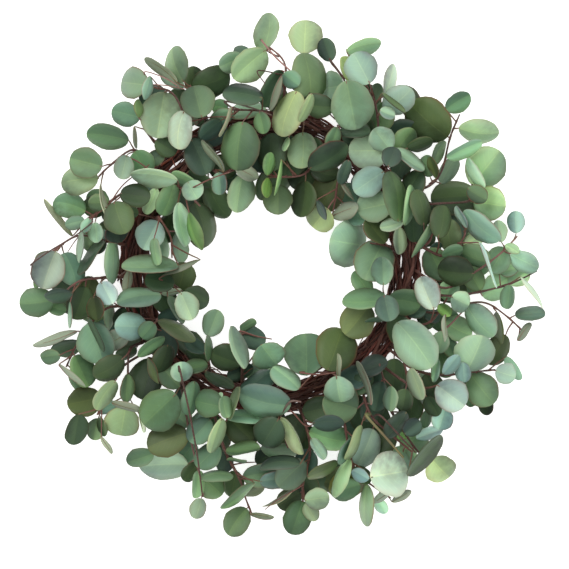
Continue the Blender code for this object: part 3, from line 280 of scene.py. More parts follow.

# Leaves deep among the others, in pixels as above, their dark tones partly painted shade, and the openings
# between leaves that stay clear
deepLeaves = [(172, 80, 26, 14, 150, "s0"), (152, 96, 28, 22, 120, "t0"), (245, 118, 40, 30, 340, "t1"),
              (222, 118, 30, 18, 200, "s0"), (222, 166, 34, 26, 250, "d0"),
              (258, 158, 34, 28, 200, "t0"), (290, 158, 40, 34, 80, "d5"), (282, 175, 36, 30, 260, "d0"),
              (303, 176, 30, 28, 270, "d0"), (325, 172, 36, 26, 350, "d0"), (340, 168, 26, 24, 10, "d5"),
              (97, 200, 26, 22, 150, "g5"), (88, 240, 24, 13, 100, "p1"), (97, 243, 30, 16, 60, "t0"),
              (108, 232, 26, 20, 100, "d5"), (113, 255, 34, 12, 270, "s1"),
              (161, 245, 36, 13, 280, "s1+"), (163, 300, 30, 24, 280, "d5"),
              (168, 318, 26, 20, 300, "t5"), (190, 345, 36, 24, 330, "d5"),
              (198, 356, 26, 18, 330, "d0"), (175, 335, 30, 20, 320, "d5"),
              (165, 375, 30, 24, 100, "d5"), (178, 385, 26, 22, 70, "t5"), (150, 345, 40, 20, 20, "t5"),
              (130, 341, 26, 14, 200, "d0"), (185, 400, 30, 22, 100, "t0"),
              (222, 370, 36, 22, 190, "d5"), (240, 372, 30, 20, 200, "t5"),
              (258, 372, 26, 20, 170, "s5"), (272, 372, 36, 20, 180, "d5"),
              (185, 455, 30, 26, 250, "s0"), (192, 471, 26, 20, 260, "o1"), (269, 457, 30, 24, 0, "t0"),
              (277, 480, 34, 20, 5, "b1-"), (300, 415, 44, 40, 280, "d5"), (292, 430, 34, 30, 250, "d0"),
              (318, 410, 34, 30, 0, "d5"), (305, 440, 30, 26, 270, "d5"), (346, 484, 42, 34, 200, "o0"),
              (330, 478, 36, 30, 210, "d0"), (346, 490, 30, 20, 200, "g1"),
              (370, 420, 44, 36, 320, "d5"), (360, 430, 36, 30, 300, "t5"),
              (385, 425, 30, 24, 300, "d5"), (372, 408, 30, 24, 60, "t0"), (415, 440, 34, 28, 30, "s0"),
              (428, 440, 30, 16, 40, "o1"), (402, 462, 30, 28, 300, "p0"), (432, 388, 30, 26, 300, "d0"),
              (445, 365, 26, 20, 280, "g1"), (440, 350, 30, 26, 340, "g0"), (425, 315, 40, 20, 0, "d5"),
              (445, 320, 30, 26, 0, "g1"), (390, 370, 36, 30, 250, "d5"), (400, 385, 30, 26, 280, "t5"),
              (388, 360, 32, 26, 300, "d5-"), (475, 388, 36, 30, 320, "d5"), (436, 255, 40, 34, 0, "d0"),
              (430, 240, 34, 30, 40, "d0"), (455, 225, 34, 30, 60, "t0"), (470, 235, 30, 26, 20, "p0"),
              (400, 170, 36, 30, 60, "t5"), (402, 132, 34, 28, 30, "t0"), (355, 132, 30, 20, 0, "d0"),
              (350, 197, 30, 22, 250, "s5"), (357, 216, 26, 24, 220, "s0"), (415, 225, 34, 22, 90, "d0"),
              (470, 206, 30, 22, 20, "d0"), (450, 290, 34, 26, 0, "d0"), (465, 280, 34, 30, 10, "g0"),
              (480, 262, 30, 24, 20, "g0"), (200, 195, 30, 26, 240, "d0"), (185, 198, 26, 26, 270, "t5"),
              (140, 300, 30, 24, 200, "d5"), (75, 300, 34, 26, 200, "d0"), (92, 310, 30, 26, 240, "g5"),
              (205, 425, 34, 30, 250, "s0"), (232, 415, 36, 24, 230, "t0"),
              (250, 430, 34, 28, 250, "d5"), (420, 144, 26, 12, 20, "d1"), (400, 168, 30, 22, 60, "d1"),
              (428, 166, 22, 16, 70, "g1"), (416, 311, 20, 16, 0, "t0"), (425, 321, 20, 15, 320, "d0"),
              (414, 321, 18, 14, 300, "d5"), (432, 316, 18, 14, 340, "t1"), (429, 240, 16, 12, 60, "d0"),
              (436, 247, 16, 11, 30, "t1"), (452, 252, 22, 14, 20, "g1"), (510, 270, 20, 14, 10, "l1"),
              (432, 406, 22, 16, 330, "d1"), (362, 475, 22, 16, 300, "d1"),
              (170, 377, 30, 22, 300, "s0"), (181, 414, 30, 16, 280, "l0"), (95, 206, 26, 22, 220, "d1"),
              (156, 158, 20, 16, 140, "d1"), (201, 178, 28, 14, 330, "d1"),
              (232, 182, 20, 16, 280, "t0"), (380, 366, 30, 26, 260, "t0-"),
              (392, 345, 30, 24, 300, "d0"), (400, 330, 34, 26, 300, "d0"),
              (355, 378, 34, 26, 250, "t0"), (126, 352, 22, 14, 200, "d0"),
              (391, 357, 26, 20, 300, "t0-"), (106, 408, 20, 14, 20, "s0"), (62, 284, 28, 22, 320, "t1"),
              (120, 318, 22, 14, 250, "d5"), (176, 414, 34, 30, 60, "s1"), (56, 308, 20, 14, 340, "g1")]
openings = [(404, 275, 10), (388, 293, 10), (382, 325, 8), (284, 362, 5), (277, 377, 4), (418, 413, 5),
            (435, 332, 5), (150, 140, 8), (330, 457, 6), (240, 445, 7), (240, 465, 8), (113, 187, 9),
            (460, 172, 7), (100, 262, 7), (212, 335, 8), (434, 152, 6), (428, 178, 6), (226, 83, 8),
            (257, 82, 8), (362, 346, 7), (136, 361, 5), (109, 312, 3), (122, 150, 5)]
barePlaces = [(128, 250, 14), (156, 283, 14), (168, 245, 8), (325, 118, 16), (180, 163, 16),
              (410, 262, 16), (385, 345, 12), (238, 385, 18), (310, 400, 18), (212, 372, 14),
              (300, 385, 10)]
undergrowth = {"leaves": 150, "length": (24, 38), "width": (0.68, 0.9), "inner": 22, "outer": 52,
               "turnMost": 100, "tones": "dddtto", "layers": "550", "seed": 41, "farthest": 42 * mm}


def atPixel(x, y, z=0.0):
    middle = layout["middlePixel"]
    return Vector(((x - middle[0]) * pixel, (middle[1] - y) * pixel, z))


ringMiddle = atPixel(*layout["ringMiddlePixel"])


def ringAxis(turn):
    low = layout["lowestAxis"] + layout["waveHeight"] * (1 + math.cos(layout["waves"] * turn))
    radius = layout["ringRadius"]
    return ringMiddle + Vector((radius * math.cos(turn), radius * math.sin(turn), low))


def crownHeight(point):
    beyond = (point - ringMiddle).to_2d().length - layout["ringRadius"]
    fall, reach = growth["outerFall" if beyond > 0 else "innerFall"]
    return growth["crown"] - fall * (beyond / reach) ** 2


def smoothPath(points, count):  # a curve through every point
    ends = [points[0] * 2 - points[1]] + points + [points[-1] * 2 - points[-2]]
    path = []
    for step in range(count + 1):
        place = step / count * (len(points) - 1)
        first = min(int(place), len(points) - 2)
        t = place - first
        a, b, c, d = ends[first:first + 4]
        path.append(0.5 * (2 * b + (c - a) * t + (2 * a - 5 * b + 4 * c - d) * t ** 2
                           + (3 * b - a - 3 * c + d) * t ** 3))
    return path


def stemPath(stem, rise):  # the butt runs straight out of the vine, then the stem follows its course
    course = [atPixel(*place) for place in stem]
    for point in course:
        point.z = crownHeight(point) - growth["stemSink"] + rise
    fromMiddle = course[0] - ringMiddle
    turn = math.atan2(fromMiddle.y, fromMiddle.x)
    root = ringAxis(turn)
    heading = (course[1] - root).to_2d().normalized().to_3d()
    out = (heading * growth["buttLean"] + up * growth["buttRise"]).normalized()
    alongRing = Vector((-math.sin(turn), math.cos(turn), 0))
    across = (out - alongRing * out.dot(alongRing)).length
    course[0] = root + out * ((layout["vineRadius"] + layout["ridgeHeight"] + growth["buttProud"]) / across)
    length = sum((b - a).length for a, b in zip(course, course[1:]))
    rest = smoothPath(course, max(2, round(length / growth["stemStep"])))
    return [course[0] - out * growth["buttLength"]] + rest


def stemRadiusAt(share):
    return growth["stemRadius"] + (growth["stemTipRadius"] - growth["stemRadius"]) * share


def tryRise(step, attempt):  # 0, then one step up, one down, two up and so on
    return step * ((attempt + 1) // 2) * (1 if attempt % 2 else -1)


def findStem(stem, solidPoints):  # at the height at which the solid stem was grown
    def off(path):
        return sum(abs(solidPoints.find(point)[2] - stemRadiusAt(number / (len(path) - 1)))
                   for number, point in enumerate(path) if number > 1)

    tries = range(growth["stemTries"])
    return min((stemPath(stem, tryRise(growth["stemRise"], attempt)) for attempt in tries), key=off)


def leafForm(row, seed):  # true size and pose of a leaf from how it is seen
    draw = random.Random(seed)
    along, across, look = row[2] * pixel, row[3] * pixel, row[5]
    edgeOn = look[0] == "k" or across < leafPose["edgeOnBelow"] * along
    ratio = leafPose["edgeOnRatio"] if edgeOn else draw.uniform(*leafPose["ratio"])
    roll = pitch = 0.0
    length, width = along, ratio * along
    if across < width:
        roll = math.acos(max(across / width, leafPose["leastRolled"])) * draw.choice((-1, 1))
    else:
        width = across
        length = across / ratio
        pitch = math.acos(max(along / length, leafPose["leastPitched"])) * draw.choice((-1, -1, 1))
    spread = leafPose["heightSpread"]
    return {"length": length, "width": width, "large": length > growth["largeLeaf"],
            "pitch": pitch + draw.gauss(0, leafPose["pitchSpread"]),
            "roll": roll + draw.gauss(0, leafPose["rollSpread"]),
            "cup": length * draw.uniform(*leafPose["cup"]) * draw.choice((-1, -1, 1)),
            "droop": length * draw.uniform(*leafPose["droop"]),
            "height": growth["layers"][int(look[1])] + draw.uniform(-spread, spread),
            "underside": look[0] == "k", "tone": look[0], "marks": look[2:]}


def nearestOnPath(path, point):  # how far off it is, and how far along
    best = (math.inf, 0.0)
    travelled = 0.0
    for a, b in zip(path[1:], path[2:]):
        span = b - a
        t = min(1.0, max(0.0, (point - a).dot(span) / span.length_squared))
        best = min(best, ((point - a - span * t).length, travelled + t * span.length))
        travelled += span.length
    return best


def alongPath(path, distance):
    whole = sum((b - a).length for a, b in zip(path[1:], path[2:]))
    distance = min(distance, whole - growth["rootSunk"])
    for a, b in zip(path[1:], path[2:]):
        span = (b - a).length
        if distance <= span:
            return a.lerp(b, max(0.0, distance / span))
        distance -= span
    return path[-1]


def placeLeaf(row, form, path, attempt):
    rise = tryRise(growth["riseStep"], attempt % growth["triesEachSize"])
    size = growth["sizes"][attempt // growth["triesEachSize"]]
    middle = atPixel(row[0], row[1])
    middle.z = crownHeight(middle) + form["height"] + rise
    length, width = form["length"] * size, form["width"] * size
    heading = math.radians(row[4])
    seen = Vector((math.cos(heading), math.sin(heading), 0))
    root = alongPath(path, nearestOnPath(path, middle - seen * length / 2)[1])
    fromRoot = (middle - root).to_2d().to_3d()
    isRound = row[3] > leafPose["roundAbove"] * row[2]
    if isRound and fromRoot.length > leafPose["farFromStem"] * length:
        seen = fromRoot.normalized()
    axis = (seen * math.cos(form["pitch"]) + up * math.sin(form["pitch"])).normalized()
    side = up.cross(axis).normalized()
    side = Matrix.Rotation(form["roll"] + (math.pi if form["underside"] else 0), 3, axis) @ side
    base = middle - axis * length / 2
    gap, distance = nearestOnPath(path, base)
    root = alongPath(path, max(0.0, distance - leafPose["petioleLean"] * gap))
    return {"axis": axis, "side": side, "face": axis.cross(side), "base": base, "root": root,
            "length": length, "width": width, "cup": form["cup"] if form["large"] else 0.0,
            "droop": form["droop"] if form["large"] else 0.0}


def onLeaf(leaf, u, v, w=0.0):  # u from base to tip, v across, w off the face
    inPlane = leaf["base"] + leaf["axis"] * (u * leaf["length"]) + leaf["side"] * (v * leaf["width"])
    return inPlane + leaf["face"] * w


def droopAt(leaf, u):
    return leaf["droop"] * 2 * max(0.0, u - growth["droopFrom"]) ** 2


def rimPlaces(large):  # the rim points that the solid leaf has
    places = []
    for degrees in growth["largeRim" if large else "smallRim"]:
        t = math.radians(degrees)
        u = 0.5 - growth["rimRadius"] * math.cos(t)
        places.append((u, growth["rimRadius"] * math.sin(t) * (1 + growth["tipBroader"] * (u - 0.5))))
    return places + [(u, -v) for u, v in places[:-1]]


def misfit(leaf, large, solidPoints):  # how far the leaf's rim lies from the solid's corners
    half = growth["thickness"] / 2
    total = 0.0
    for u, v in rimPlaces(large):
        points = [onLeaf(leaf, u, v, lift - droopAt(leaf, u)) for lift in (half, -half)]
        total += min([solidPoints.find(point)[2] for point in points] + [growth["misfitMost"]])
    return total


def findLeaf(row, form, path, solidPoints):  # the place at which the solid leaf was grown
    tries = growth["triesEachSize"] * len(growth["sizes"])
    places = [placeLeaf(row, form, path, attempt) for attempt in range(tries)]
    return min(places, key=lambda leaf: misfit(leaf, form["large"], solidPoints))


# The flat shell that stands for a leaf: corners round its rim, and half its thickness
plate = {"corners": 8, "half": 0.8 * mm}


def plateTree(leaf):  # a thin flat shell, for finding what a leaf would cross
    count = plate["corners"]
    turns = [math.tau * step / count for step in range(count)]
    rim = [onLeaf(leaf, 0.5 - 0.5 * math.cos(t), 0.5 * math.sin(t)) for t in turns]
    spread = leaf["face"] * plate["half"]
    corners = [point + spread for point in rim] + [point - spread for point in rim]
    sides = [(n, (n + 1) % count, (n + 1) % count + count, n + count) for n in range(count)]
    ends = [tuple(range(count)), tuple(range(2 * count - 1, count - 1, -1))]
    return BVHTree.FromPolygons(corners, ends + sides)


def nodePoints(node):
    points = KDTree(len(node.data.vertices))
    for number, vertex in enumerate(node.data.vertices):
        points.insert(vertex.co, number)
    points.balance()
    return points


def solidTree(nodes):
    corners, faces = [], []
    for node in nodes:
        first = len(corners)
        corners += [vertex.co.copy() for vertex in node.data.vertices]
        faces += [tuple(first + number for number in face.vertices) for face in node.data.polygons]
    return BVHTree.FromPolygons(corners, faces)


def freeLeaf(row, form, path, blocked, heights):  # the first place where it crosses nothing
    for attempt in range(growth["triesEachSize"] * len(growth["sizes"])):
        if attempt % growth["triesEachSize"] >= heights:
            continue
        leaf = placeLeaf(row, form, path, attempt)
        tree = plateTree(leaf)
        lowest = min(onLeaf(leaf, u, v).z for u, v in ((0, 0), (1, 0), (0.5, 0.5), (0.5, -0.5)))
        if lowest > growth["lowestLeaf"] and not any(tree.overlap(other) for other in blocked):
            blocked.append(tree)
            return leaf
    return None


def footPixel(row):  # where a leaf's base is seen
    back, heading = row[2] / 2, math.radians(row[4])
    return row[0] - back * math.cos(heading), row[1] + back * math.sin(heading)


def nearestSprig(place, paths):  # how far the nearest stem passes, and its number
    base = atPixel(*place)
    best = (math.inf, 0)
    for number, path in enumerate(paths):
        base.z = sum(point.z for point in path) / len(path)
        best = min(best, (nearestOnPath(path, base)[0], number))
    return best


def undergrowthRows():  # dark leaves round the ring, low down, their darkness partly painted shade
    draw = random.Random(undergrowth["seed"])
    middle = layout["ringMiddlePixel"]
    around = layout["ringRadius"] / pixel
    rows = []
    for number in range(undergrowth["leaves"]):
        turn = math.tau * (number + draw.random()) / undergrowth["leaves"]
        reach = around + draw.uniform(-undergrowth["inner"], undergrowth["outer"])
        x, y = middle[0] + reach * math.cos(turn), middle[1] - reach * math.sin(turn)
        length = draw.uniform(*undergrowth["length"])
        width = length * draw.uniform(*undergrowth["width"])
        heading = math.degrees(turn) + draw.uniform(-undergrowth["turnMost"], undergrowth["turnMost"])
        look = draw.choice(undergrowth["tones"]) + draw.choice(undergrowth["layers"])
        if all(math.dist((x, y), gap[:2]) > gap[2] + length / 2 for gap in openings + barePlaces):
            rows.append((x, y, length, width, heading, look))
    return rows


# Node trees: + - * on values add Math nodes, and every other node comes from node()
def operator(operation):  # value with other, and the reflected form, other with value
    return (lambda value, other: value.graph.maths(operation, value, other),
            lambda value, other: value.graph.maths(operation, other, value))


class Value:
    __add__, __radd__ = operator("ADD")
    __sub__, __rsub__ = operator("SUBTRACT")
    __mul__, __rmul__ = operator("MULTIPLY")

    def __init__(self, graph, socket):
        self.graph = graph
        self.socket = socket

    def __neg__(self):
        return self * -1


class Graph:
    def __init__(self, tree):
        self.tree = tree

    def feed(self, node, inputs):  # a number, colour or link for each named socket
        for name, value in inputs.items():
            if isinstance(value, Value):
                self.tree.links.new(value.socket, node.inputs[name])
            else:
                node.inputs[name].default_value = value

    def node(self, kind, inputs=None, out=0, **settings):
        made = self.tree.nodes.new(kind)
        for name, value in settings.items():
            if name == "stops":
                ramp = made.color_ramp.elements
                while len(ramp) < len(value):
                    ramp.new(0.5)
                for element, (place, colour) in zip(ramp, value):
                    element.position = place
                    element.color = (*colour, 1)
            else:
                setattr(made, name, value)
        self.feed(made, inputs or {})
        return Value(self, made.outputs[out]) if len(made.outputs) else made

    def maths(self, operation, *values):
        return self.node("ShaderNodeMath", dict(enumerate(values)), operation=operation)

    def vector(self, operation, *values, **named):
        return self.node("ShaderNodeVectorMath", {**dict(enumerate(values)), **named}, operation=operation)

    def split(self, vector):
        made = self.node("ShaderNodeSeparateXYZ", {0: vector}).socket.node
        return [Value(self, socket) for socket in made.outputs]

    def join(self, x, y, z):
        return self.node("ShaderNodeCombineXYZ", {0: x, 1: y, 2: z})

    def mix(self, share, a, b, blend="MIX"):  # sockets 6 and 7 and output 2 are the node's colours
        return self.node("ShaderNodeMix", {0: share, 6: a, 7: b}, 2, data_type="RGBA", blend_type=blend)

    def tint(self, colour, factors):
        return self.mix(1.0, colour, (*factors, 1), "MULTIPLY")

    def smooth(self, value, low, high):  # 0 below low, 1 above high
        return self.node("ShaderNodeMapRange", {0: value, 1: low, 2: high, 3: 0.0, 4: 1.0},
                         interpolation_type="SMOOTHSTEP")

    def noise(self, scale, detail, place=None, roughness=0.5):
        place = place or self.node("ShaderNodeTexCoord", out="Object")
        return self.node("ShaderNodeTexNoise", {"Vector": place, "Scale": scale, "Detail": detail,
                                                "Roughness": roughness}, "Fac")

    def bump(self, height, strength, distance):
        return self.node("ShaderNodeBump", {"Strength": strength, "Distance": distance, "Height": height})

    def store(self, geometry, name, value, kind="FLOAT_VECTOR"):
        inputs = {"Geometry": geometry, "Name": name, "Value": value}
        return self.node("GeometryNodeStoreNamedAttribute", inputs, data_type=kind, domain="POINT")

    def attribute(self, name, kind="FLOAT_VECTOR"):
        if self.tree.bl_idname == "GeometryNodeTree":
            return self.node("GeometryNodeInputNamedAttribute", {"Name": name}, data_type=kind)
        return self.node("ShaderNodeAttribute", None, "Vector", attribute_name=name)


def sine(value):
    return value.graph.maths("SINE", value)


def cosine(value):
    return value.graph.maths("COSINE", value)


def absolute(value):
    return value.graph.maths("ABSOLUTE", value)


def newTree(name, inputs):  # an empty tree, and its inputs by name
    kinds = {int: "NodeSocketInt", float: "NodeSocketFloat", Vector: "NodeSocketVector",
             bpy.types.Material: "NodeSocketMaterial"}
    tree = bpy.data.node_groups.new(name, "GeometryNodeTree")
    tree.interface.new_socket("Geometry", in_out="INPUT", socket_type="NodeSocketGeometry")
    for label, value in inputs.items():
        socket = tree.interface.new_socket(label, in_out="INPUT", socket_type=kinds[type(value)])
        socket.default_value = value
    tree.interface.new_socket("Geometry", in_out="OUTPUT", socket_type="NodeSocketGeometry")
    graph = Graph(tree)
    source = tree.nodes.new("NodeGroupInput")
    return graph, {socket.name: Value(graph, socket) for socket in source.outputs if socket.name}


def finishTree(graph, geometry, material):
    geometry = graph.node("GeometryNodeRealizeInstances", {"Geometry": geometry})
    geometry = graph.node("GeometryNodeSetShadeSmooth", {"Geometry": geometry, "Shade Smooth": True})
    geometry = graph.node("GeometryNodeSetMaterial", {"Geometry": geometry, "Material": material})
    graph.node("NodeGroupOutput", {0: geometry})


def plainMesh(obj):
    deps = bpy.context.evaluated_depsgraph_get()
    mesh = bpy.data.meshes.new_from_object(obj.evaluated_get(deps), depsgraph=deps)
    obj.modifiers.clear()
    obj.data = mesh
    return obj


def runTree(obj, graph, values):  # the tree's result as a plain mesh
    live = obj.modifiers.new("growth", "NODES")
    live.node_group = graph.tree
    for item in graph.tree.interface.items_tree:
        if item.in_out == "INPUT" and item.name in values:
            live[item.identifier] = values[item.name]
    return plainMesh(obj)


def newObject(name, points, edges=(), attributes=None):
    mesh = bpy.data.meshes.new(name)
    mesh.from_pydata(points, edges, [])
    for label, values in (attributes or {}).items():
        values = np.array(values, np.float32)
        kind, field = ("FLOAT", "value") if values.ndim == 1 else ("FLOAT_VECTOR", "vector")
        mesh.attributes.new(label, kind, "POINT").data.foreach_set(field, values.ravel())
    obj = bpy.data.objects.new(name, mesh)
    scene.collection.objects.link(obj)
    return obj


def newMaterial(name):
    material = bpy.data.materials.new(name)
    material.use_nodes = True
    return material, Graph(material.node_tree), material.node_tree.nodes["Principled BSDF"]


# The ring: twigs wound together, some ends springing loose
ring = {"Twigs": 70, "Stations": 140, "Thickest": 2.3 * mm, "Thinnest": 0.8 * mm, "Tip thinning": 0.45,
        "Winds": 4.0, "Fill": 0.88, "Core": 0.25, "Loose from": 0.90, "Loose end": 8 * mm,
        "Wobble": 1.8 * mm, "Knobs": 0.12, "Sides": 6, "Seed": 7, "Ring radius": layout["ringRadius"],
        "Bundle radius": layout["vineRadius"], "Waves": float(layout["waves"]),
        "Wave height": layout["waveHeight"], "Lowest axis": layout["lowestAxis"], "Middle": ringMiddle}
twigDraws = {"startTurn": (0.0, math.tau), "cover": (0.55, 1.25), "phase": (0.0, math.tau),
             "wind": (-1.0, 1.0), "depth": (0.0, 1.0), "girth": (0.0, 1.0)}
ringBark = {"specular": 0.3, "smoothest": 0.62, "rougher": 0.25, "bump": (0.6, 0.0006),
            "fine": (420, 5), "fineRoughness": 0.65, "patchy": (45, 2), "red": (0.20, 0.05, 0.035),
            "stops": [(0.0, (0.030, 0.014, 0.012)), (0.42, (0.095, 0.038, 0.030)),
                      (0.72, (0.22, 0.095, 0.070)), (1.0, (0.42, 0.28, 0.22))]}


def twigTree(inputs):
    graph, given = newTree("vineTwigs", inputs)
    starts = graph.node("GeometryNodeMeshLine", {"Count": given["Twigs"], "Offset": (0.0, 0.0, 0.001)})
    number = graph.node("GeometryNodeInputIndex")
    for turn, (label, (low, high)) in enumerate(twigDraws.items()):
        inputs = {2: low, 3: high, "ID": number, "Seed": given["Seed"] + turn * 13}
        drawn = graph.node("FunctionNodeRandomValue", inputs, 1, data_type="FLOAT")
        starts = graph.store(starts, label, drawn, "FLOAT")
    line = graph.node("GeometryNodeCurvePrimitiveLine", {"End": (0.1, 0.0, 0.0)})
    line = graph.node("GeometryNodeResampleCurve", {"Curve": line, "Count": given["Stations"]})
    twigs = graph.node("GeometryNodeInstanceOnPoints", {"Points": starts, "Instance": line})
    twigs = graph.node("GeometryNodeRealizeInstances", {"Geometry": twigs})

    share = graph.node("GeometryNodeSplineParameter")  # 0 at a twig's start, 1 at its end
    startTurn, cover, phase, wind, depth, girth = (graph.attribute(label, "FLOAT") for label in twigDraws)
    turn = startTurn + cover * share * math.tau
    around = phase + wind * given["Winds"] * share + 0.5 * sine(turn * 5 + phase * 3)
    endward = graph.smooth(absolute(share * 2 - 1), given["Loose from"], 1.0)
    thick = given["Thinnest"] + (given["Thickest"] - given["Thinnest"]) * girth * girth
    thick = thick * (1 - given["Tip thinning"] * share)
    fill = given["Core"] + (1 - given["Core"]) * graph.maths("SQRT", depth)
    out = given["Bundle radius"] * given["Fill"] * fill
    out = out + endward * endward * given["Loose end"] * graph.smooth(wind, -0.2, 0.6)
    out = out + given["Wobble"] * sine(turn * 23 + phase * 7)
    reach = given["Ring radius"] + out * cosine(around)
    low = given["Lowest axis"] + given["Wave height"] * (1 + cosine(turn * given["Waves"]))
    height = graph.maths("MAXIMUM", low + out * sine(around), thick * 1.05)  # never below the floor
    place = graph.join(reach * cosine(turn), reach * sine(turn), height)
    place = graph.vector("ADD", place, given["Middle"])
    twigs = graph.node("GeometryNodeSetPosition", {"Geometry": twigs, "Position": place})
    knobbly = 1 + given["Knobs"] * sine(turn * 61 + phase * 5)
    profile = graph.node("GeometryNodeCurvePrimitiveCircle", {"Resolution": given["Sides"], "Radius": 1.0})
    twigs = graph.store(twigs, "barkAt", graph.join(share * 20, phase, 0.0))
    tubes = graph.node("GeometryNodeCurveToMesh", {"Curve": twigs, "Profile Curve": profile,
                                                   "Scale": thick * knobbly, "Fill Caps": True})
    finishTree(graph, tubes, given["Material"])
    return graph


def barkMaterial():
    material, graph, shader = newMaterial("vineBark")
    along, phase, _ = graph.split(graph.attribute("barkAt"))
    fine = graph.noise(*ringBark["fine"], roughness=ringBark["fineRoughness"])
    patchy = graph.noise(*ringBark["patchy"])
    ridges = sine(along * 37 + fine * 9)
    colour = graph.node("ShaderNodeValToRGB", {0: patchy * 0.4 + fine * 0.45 + sine(phase * 31) * 0.16},
                        stops=ringBark["stops"])
    colour = graph.mix(graph.smooth(sine(phase * 9), 0.2, 0.9) * 0.55, colour, (*ringBark["red"], 1))
    graph.feed(shader, {"Base Color": colour, "Specular IOR Level": ringBark["specular"],
                        "Roughness": ringBark["smoothest"] + fine * ringBark["rougher"],
                        "Normal": graph.bump(fine + ridges * 0.2, *ringBark["bump"])})
    return material


def buildRing():
    inputs = {**ring, "Material": barkMaterial()}
    piece = runTree(newObject("vineTwigs", [(0, 0, 0)]), twigTree(inputs), inputs)
    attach(piece, "root")
    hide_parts("vine_ring")
    print("ring done")


# Leaf blades: the cut of their rim as inputs of their tree, and what is drawn for each leaf
blade = {"Stations along": 13, "Stations across": 5, "Rim radius": 0.51, "Wobble": 0.022,
         "Fine wobble": 0.016, "Uneven halves": 0.05, "Point from": 0.62,
         "Tip broader": growth["tipBroader"], "Droop from": growth["droopFrom"]}
# depth and shadeWarmth: how dark a leaf's painted shade side gets, and how warm its painted light and shade
# are
leafShape = {"thickness": 0.5 * mm, "fold": (-0.05, 0.14), "wave": (0.1 * mm, 0.9 * mm), "toneSpread": 0.10,
             "dull": 0.20, "dullSpread": 0.08, "warmth": 0.10, "pointed": 0.28, "rimmed": 0.35,
             "depth": (0.40, 0.84), "shadeWarmth": (-0.08, 0.16), "bloom": 0.5, "bloomed": 0.45,
             "smallCup": (-0.04, 0.08)}
# fold is how strongly one half of a leaf is painted in shade and the other in light
leafLook = {"top": {"roughness": 0.50, "specular": 0.28, "vein": 0.22, "rim": 0.10, "chalk": 0.0,
                    "fold": 0.55},
            "under": {"roughness": 0.66, "specular": 0.20, "vein": 0.34, "rim": 0.05, "chalk": 0.30,
                      "fold": 0.40}}
leafNoise = ((30, 1), (160, 3), (1100, 2))  # scale and detail of the cloudy, the mottled and the grainy one

# A leaf's markings, and where its painted shade and painted light fall (shadeAcross, shadeCloud, shade,
# halves): two numbers are where one begins and is full, one number is how strong or how many
leafDetail = {"midrib": (0.012, 0.04), "midribFoot": 0.03, "midribFades": (0.65, 0.97), "veins": 62,
              "veinSlant": 0.24, "veinWaver": 0.04, "veinLine": (0.85, 1.0), "veinFadesOut": (0.60, 0.90),
              "veinFadesUp": (0.75, 0.95), "rim": (0.88, 0.99), "ends": (0.470, 0.496), "shadeAcross": 0.55,
              "shadeCloud": 0.9, "shade": (-0.50, 0.30), "inner": (0.05, 0.75), "innerAmount": 0.55,
              "rimward": (0.50, 1.0), "powder": (0.42, 0.66), "mottle": 0.75, "mottleLeast": 0.12,
              "halves": (-0.18, 0.18), "sideVein": 0.35, "redRim": 0.5, "rougher": 0.25,
              "bump": (0.30, 0.0006)}
# Tints of a leaf's markings, and of the painted shade and painted light on its two halves
leafTints = {"inner": (1.06, 1.03, 0.87), "rimward": (1.16, 0.98, 0.96), "powder": (1.20, 1.24, 1.36),
             "mottle": (1.25, 1.22, 1.08), "paintedShadeHalf": (0.50, 0.55, 0.58), "paintedLightHalf": (1.22, 1.20, 1.12),
             "vein": (1.9, 1.7, 1.35), "chalk": (0.36, 0.42, 0.31), "redRim": (0.24, 0.08, 0.05)}


def bladeTree(material):  # one leaf blade grown on each point
    graph, given = newTree("leafBlades", {**blade, "Material": material})
    grid = graph.node("GeometryNodeMeshGrid", {"Vertices X": given["Stations along"],
                                               "Vertices Y": given["Stations across"]})
    x, y, _ = graph.split(graph.node("GeometryNodeInputPosition"))
    along, across = x + 0.5, y * 2
    grid = graph.store(grid, "leafAt", graph.join(along, across, 0.0))
    flat = graph.join(0.5 - 0.5 * cosine(along * math.pi), 0.5 * sine(along * math.pi) * across, 0.0)
    grid = graph.node("GeometryNodeSetPosition", {"Geometry": grid, "Position": flat})
    grid = graph.node("GeometryNodeMergeByDistance", {"Geometry": grid, "Distance": 0.0005})
    leaves = graph.node("GeometryNodeInstanceOnPoints", {"Points": given["Geometry"], "Instance": grid})
    leaves = graph.node("GeometryNodeRealizeInstances", {"Geometry": leaves})

    t, s, _ = graph.split(graph.attribute("leafAt"))
    length, width, cup = graph.split(graph.attribute("size"))
    droop, fold, wave = graph.split(graph.attribute("bend"))
    spice, point, _ = graph.split(graph.attribute("spice"))
    lengthwise, crosswise = cosine(t * math.pi), sine(t * math.pi)
    leftOrRight = graph.maths("SIGN", s)
    u = 0.5 - given["Rim radius"] * lengthwise
    wobble = 1 + given["Wobble"] * sine(t * 17 + spice * 40) * leftOrRight
    wobble = wobble + given["Fine wobble"] * sine(t * 33 + s * 9 + spice * 90)
    wobble = wobble + given["Uneven halves"] * leftOrRight * sine(spice * 60)
    half = given["Rim radius"] * crosswise * (1 + given["Tip broader"] * (u - 0.5)) * wobble
    v = half * s * (1 - point * graph.maths("MAXIMUM", u - given["Point from"], 0.0))
    outward = lengthwise * lengthwise + s * s * crosswise * crosswise
    turn = graph.maths("ARCTAN2", s * crosswise, lengthwise)
    drop = graph.maths("MAXIMUM", u - given["Droop from"], 0.0)
    w = (-cup) * (1 - outward) - droop * 2 * drop * drop
    w = w + fold * absolute(v) * width
    w = w + wave * outward * outward * sine(turn * 3 + spice * 30)
    place = graph.attribute("base")
    for direction, amount in (("axis", u * length), ("side", v * width), ("face", w)):
        place = graph.vector("ADD", place, graph.vector("SCALE", graph.attribute(direction), Scale=amount))
    leaves = graph.node("GeometryNodeSetPosition", {"Geometry": leaves, "Position": place})
    finishTree(graph, leaves, given["Material"])
    return graph


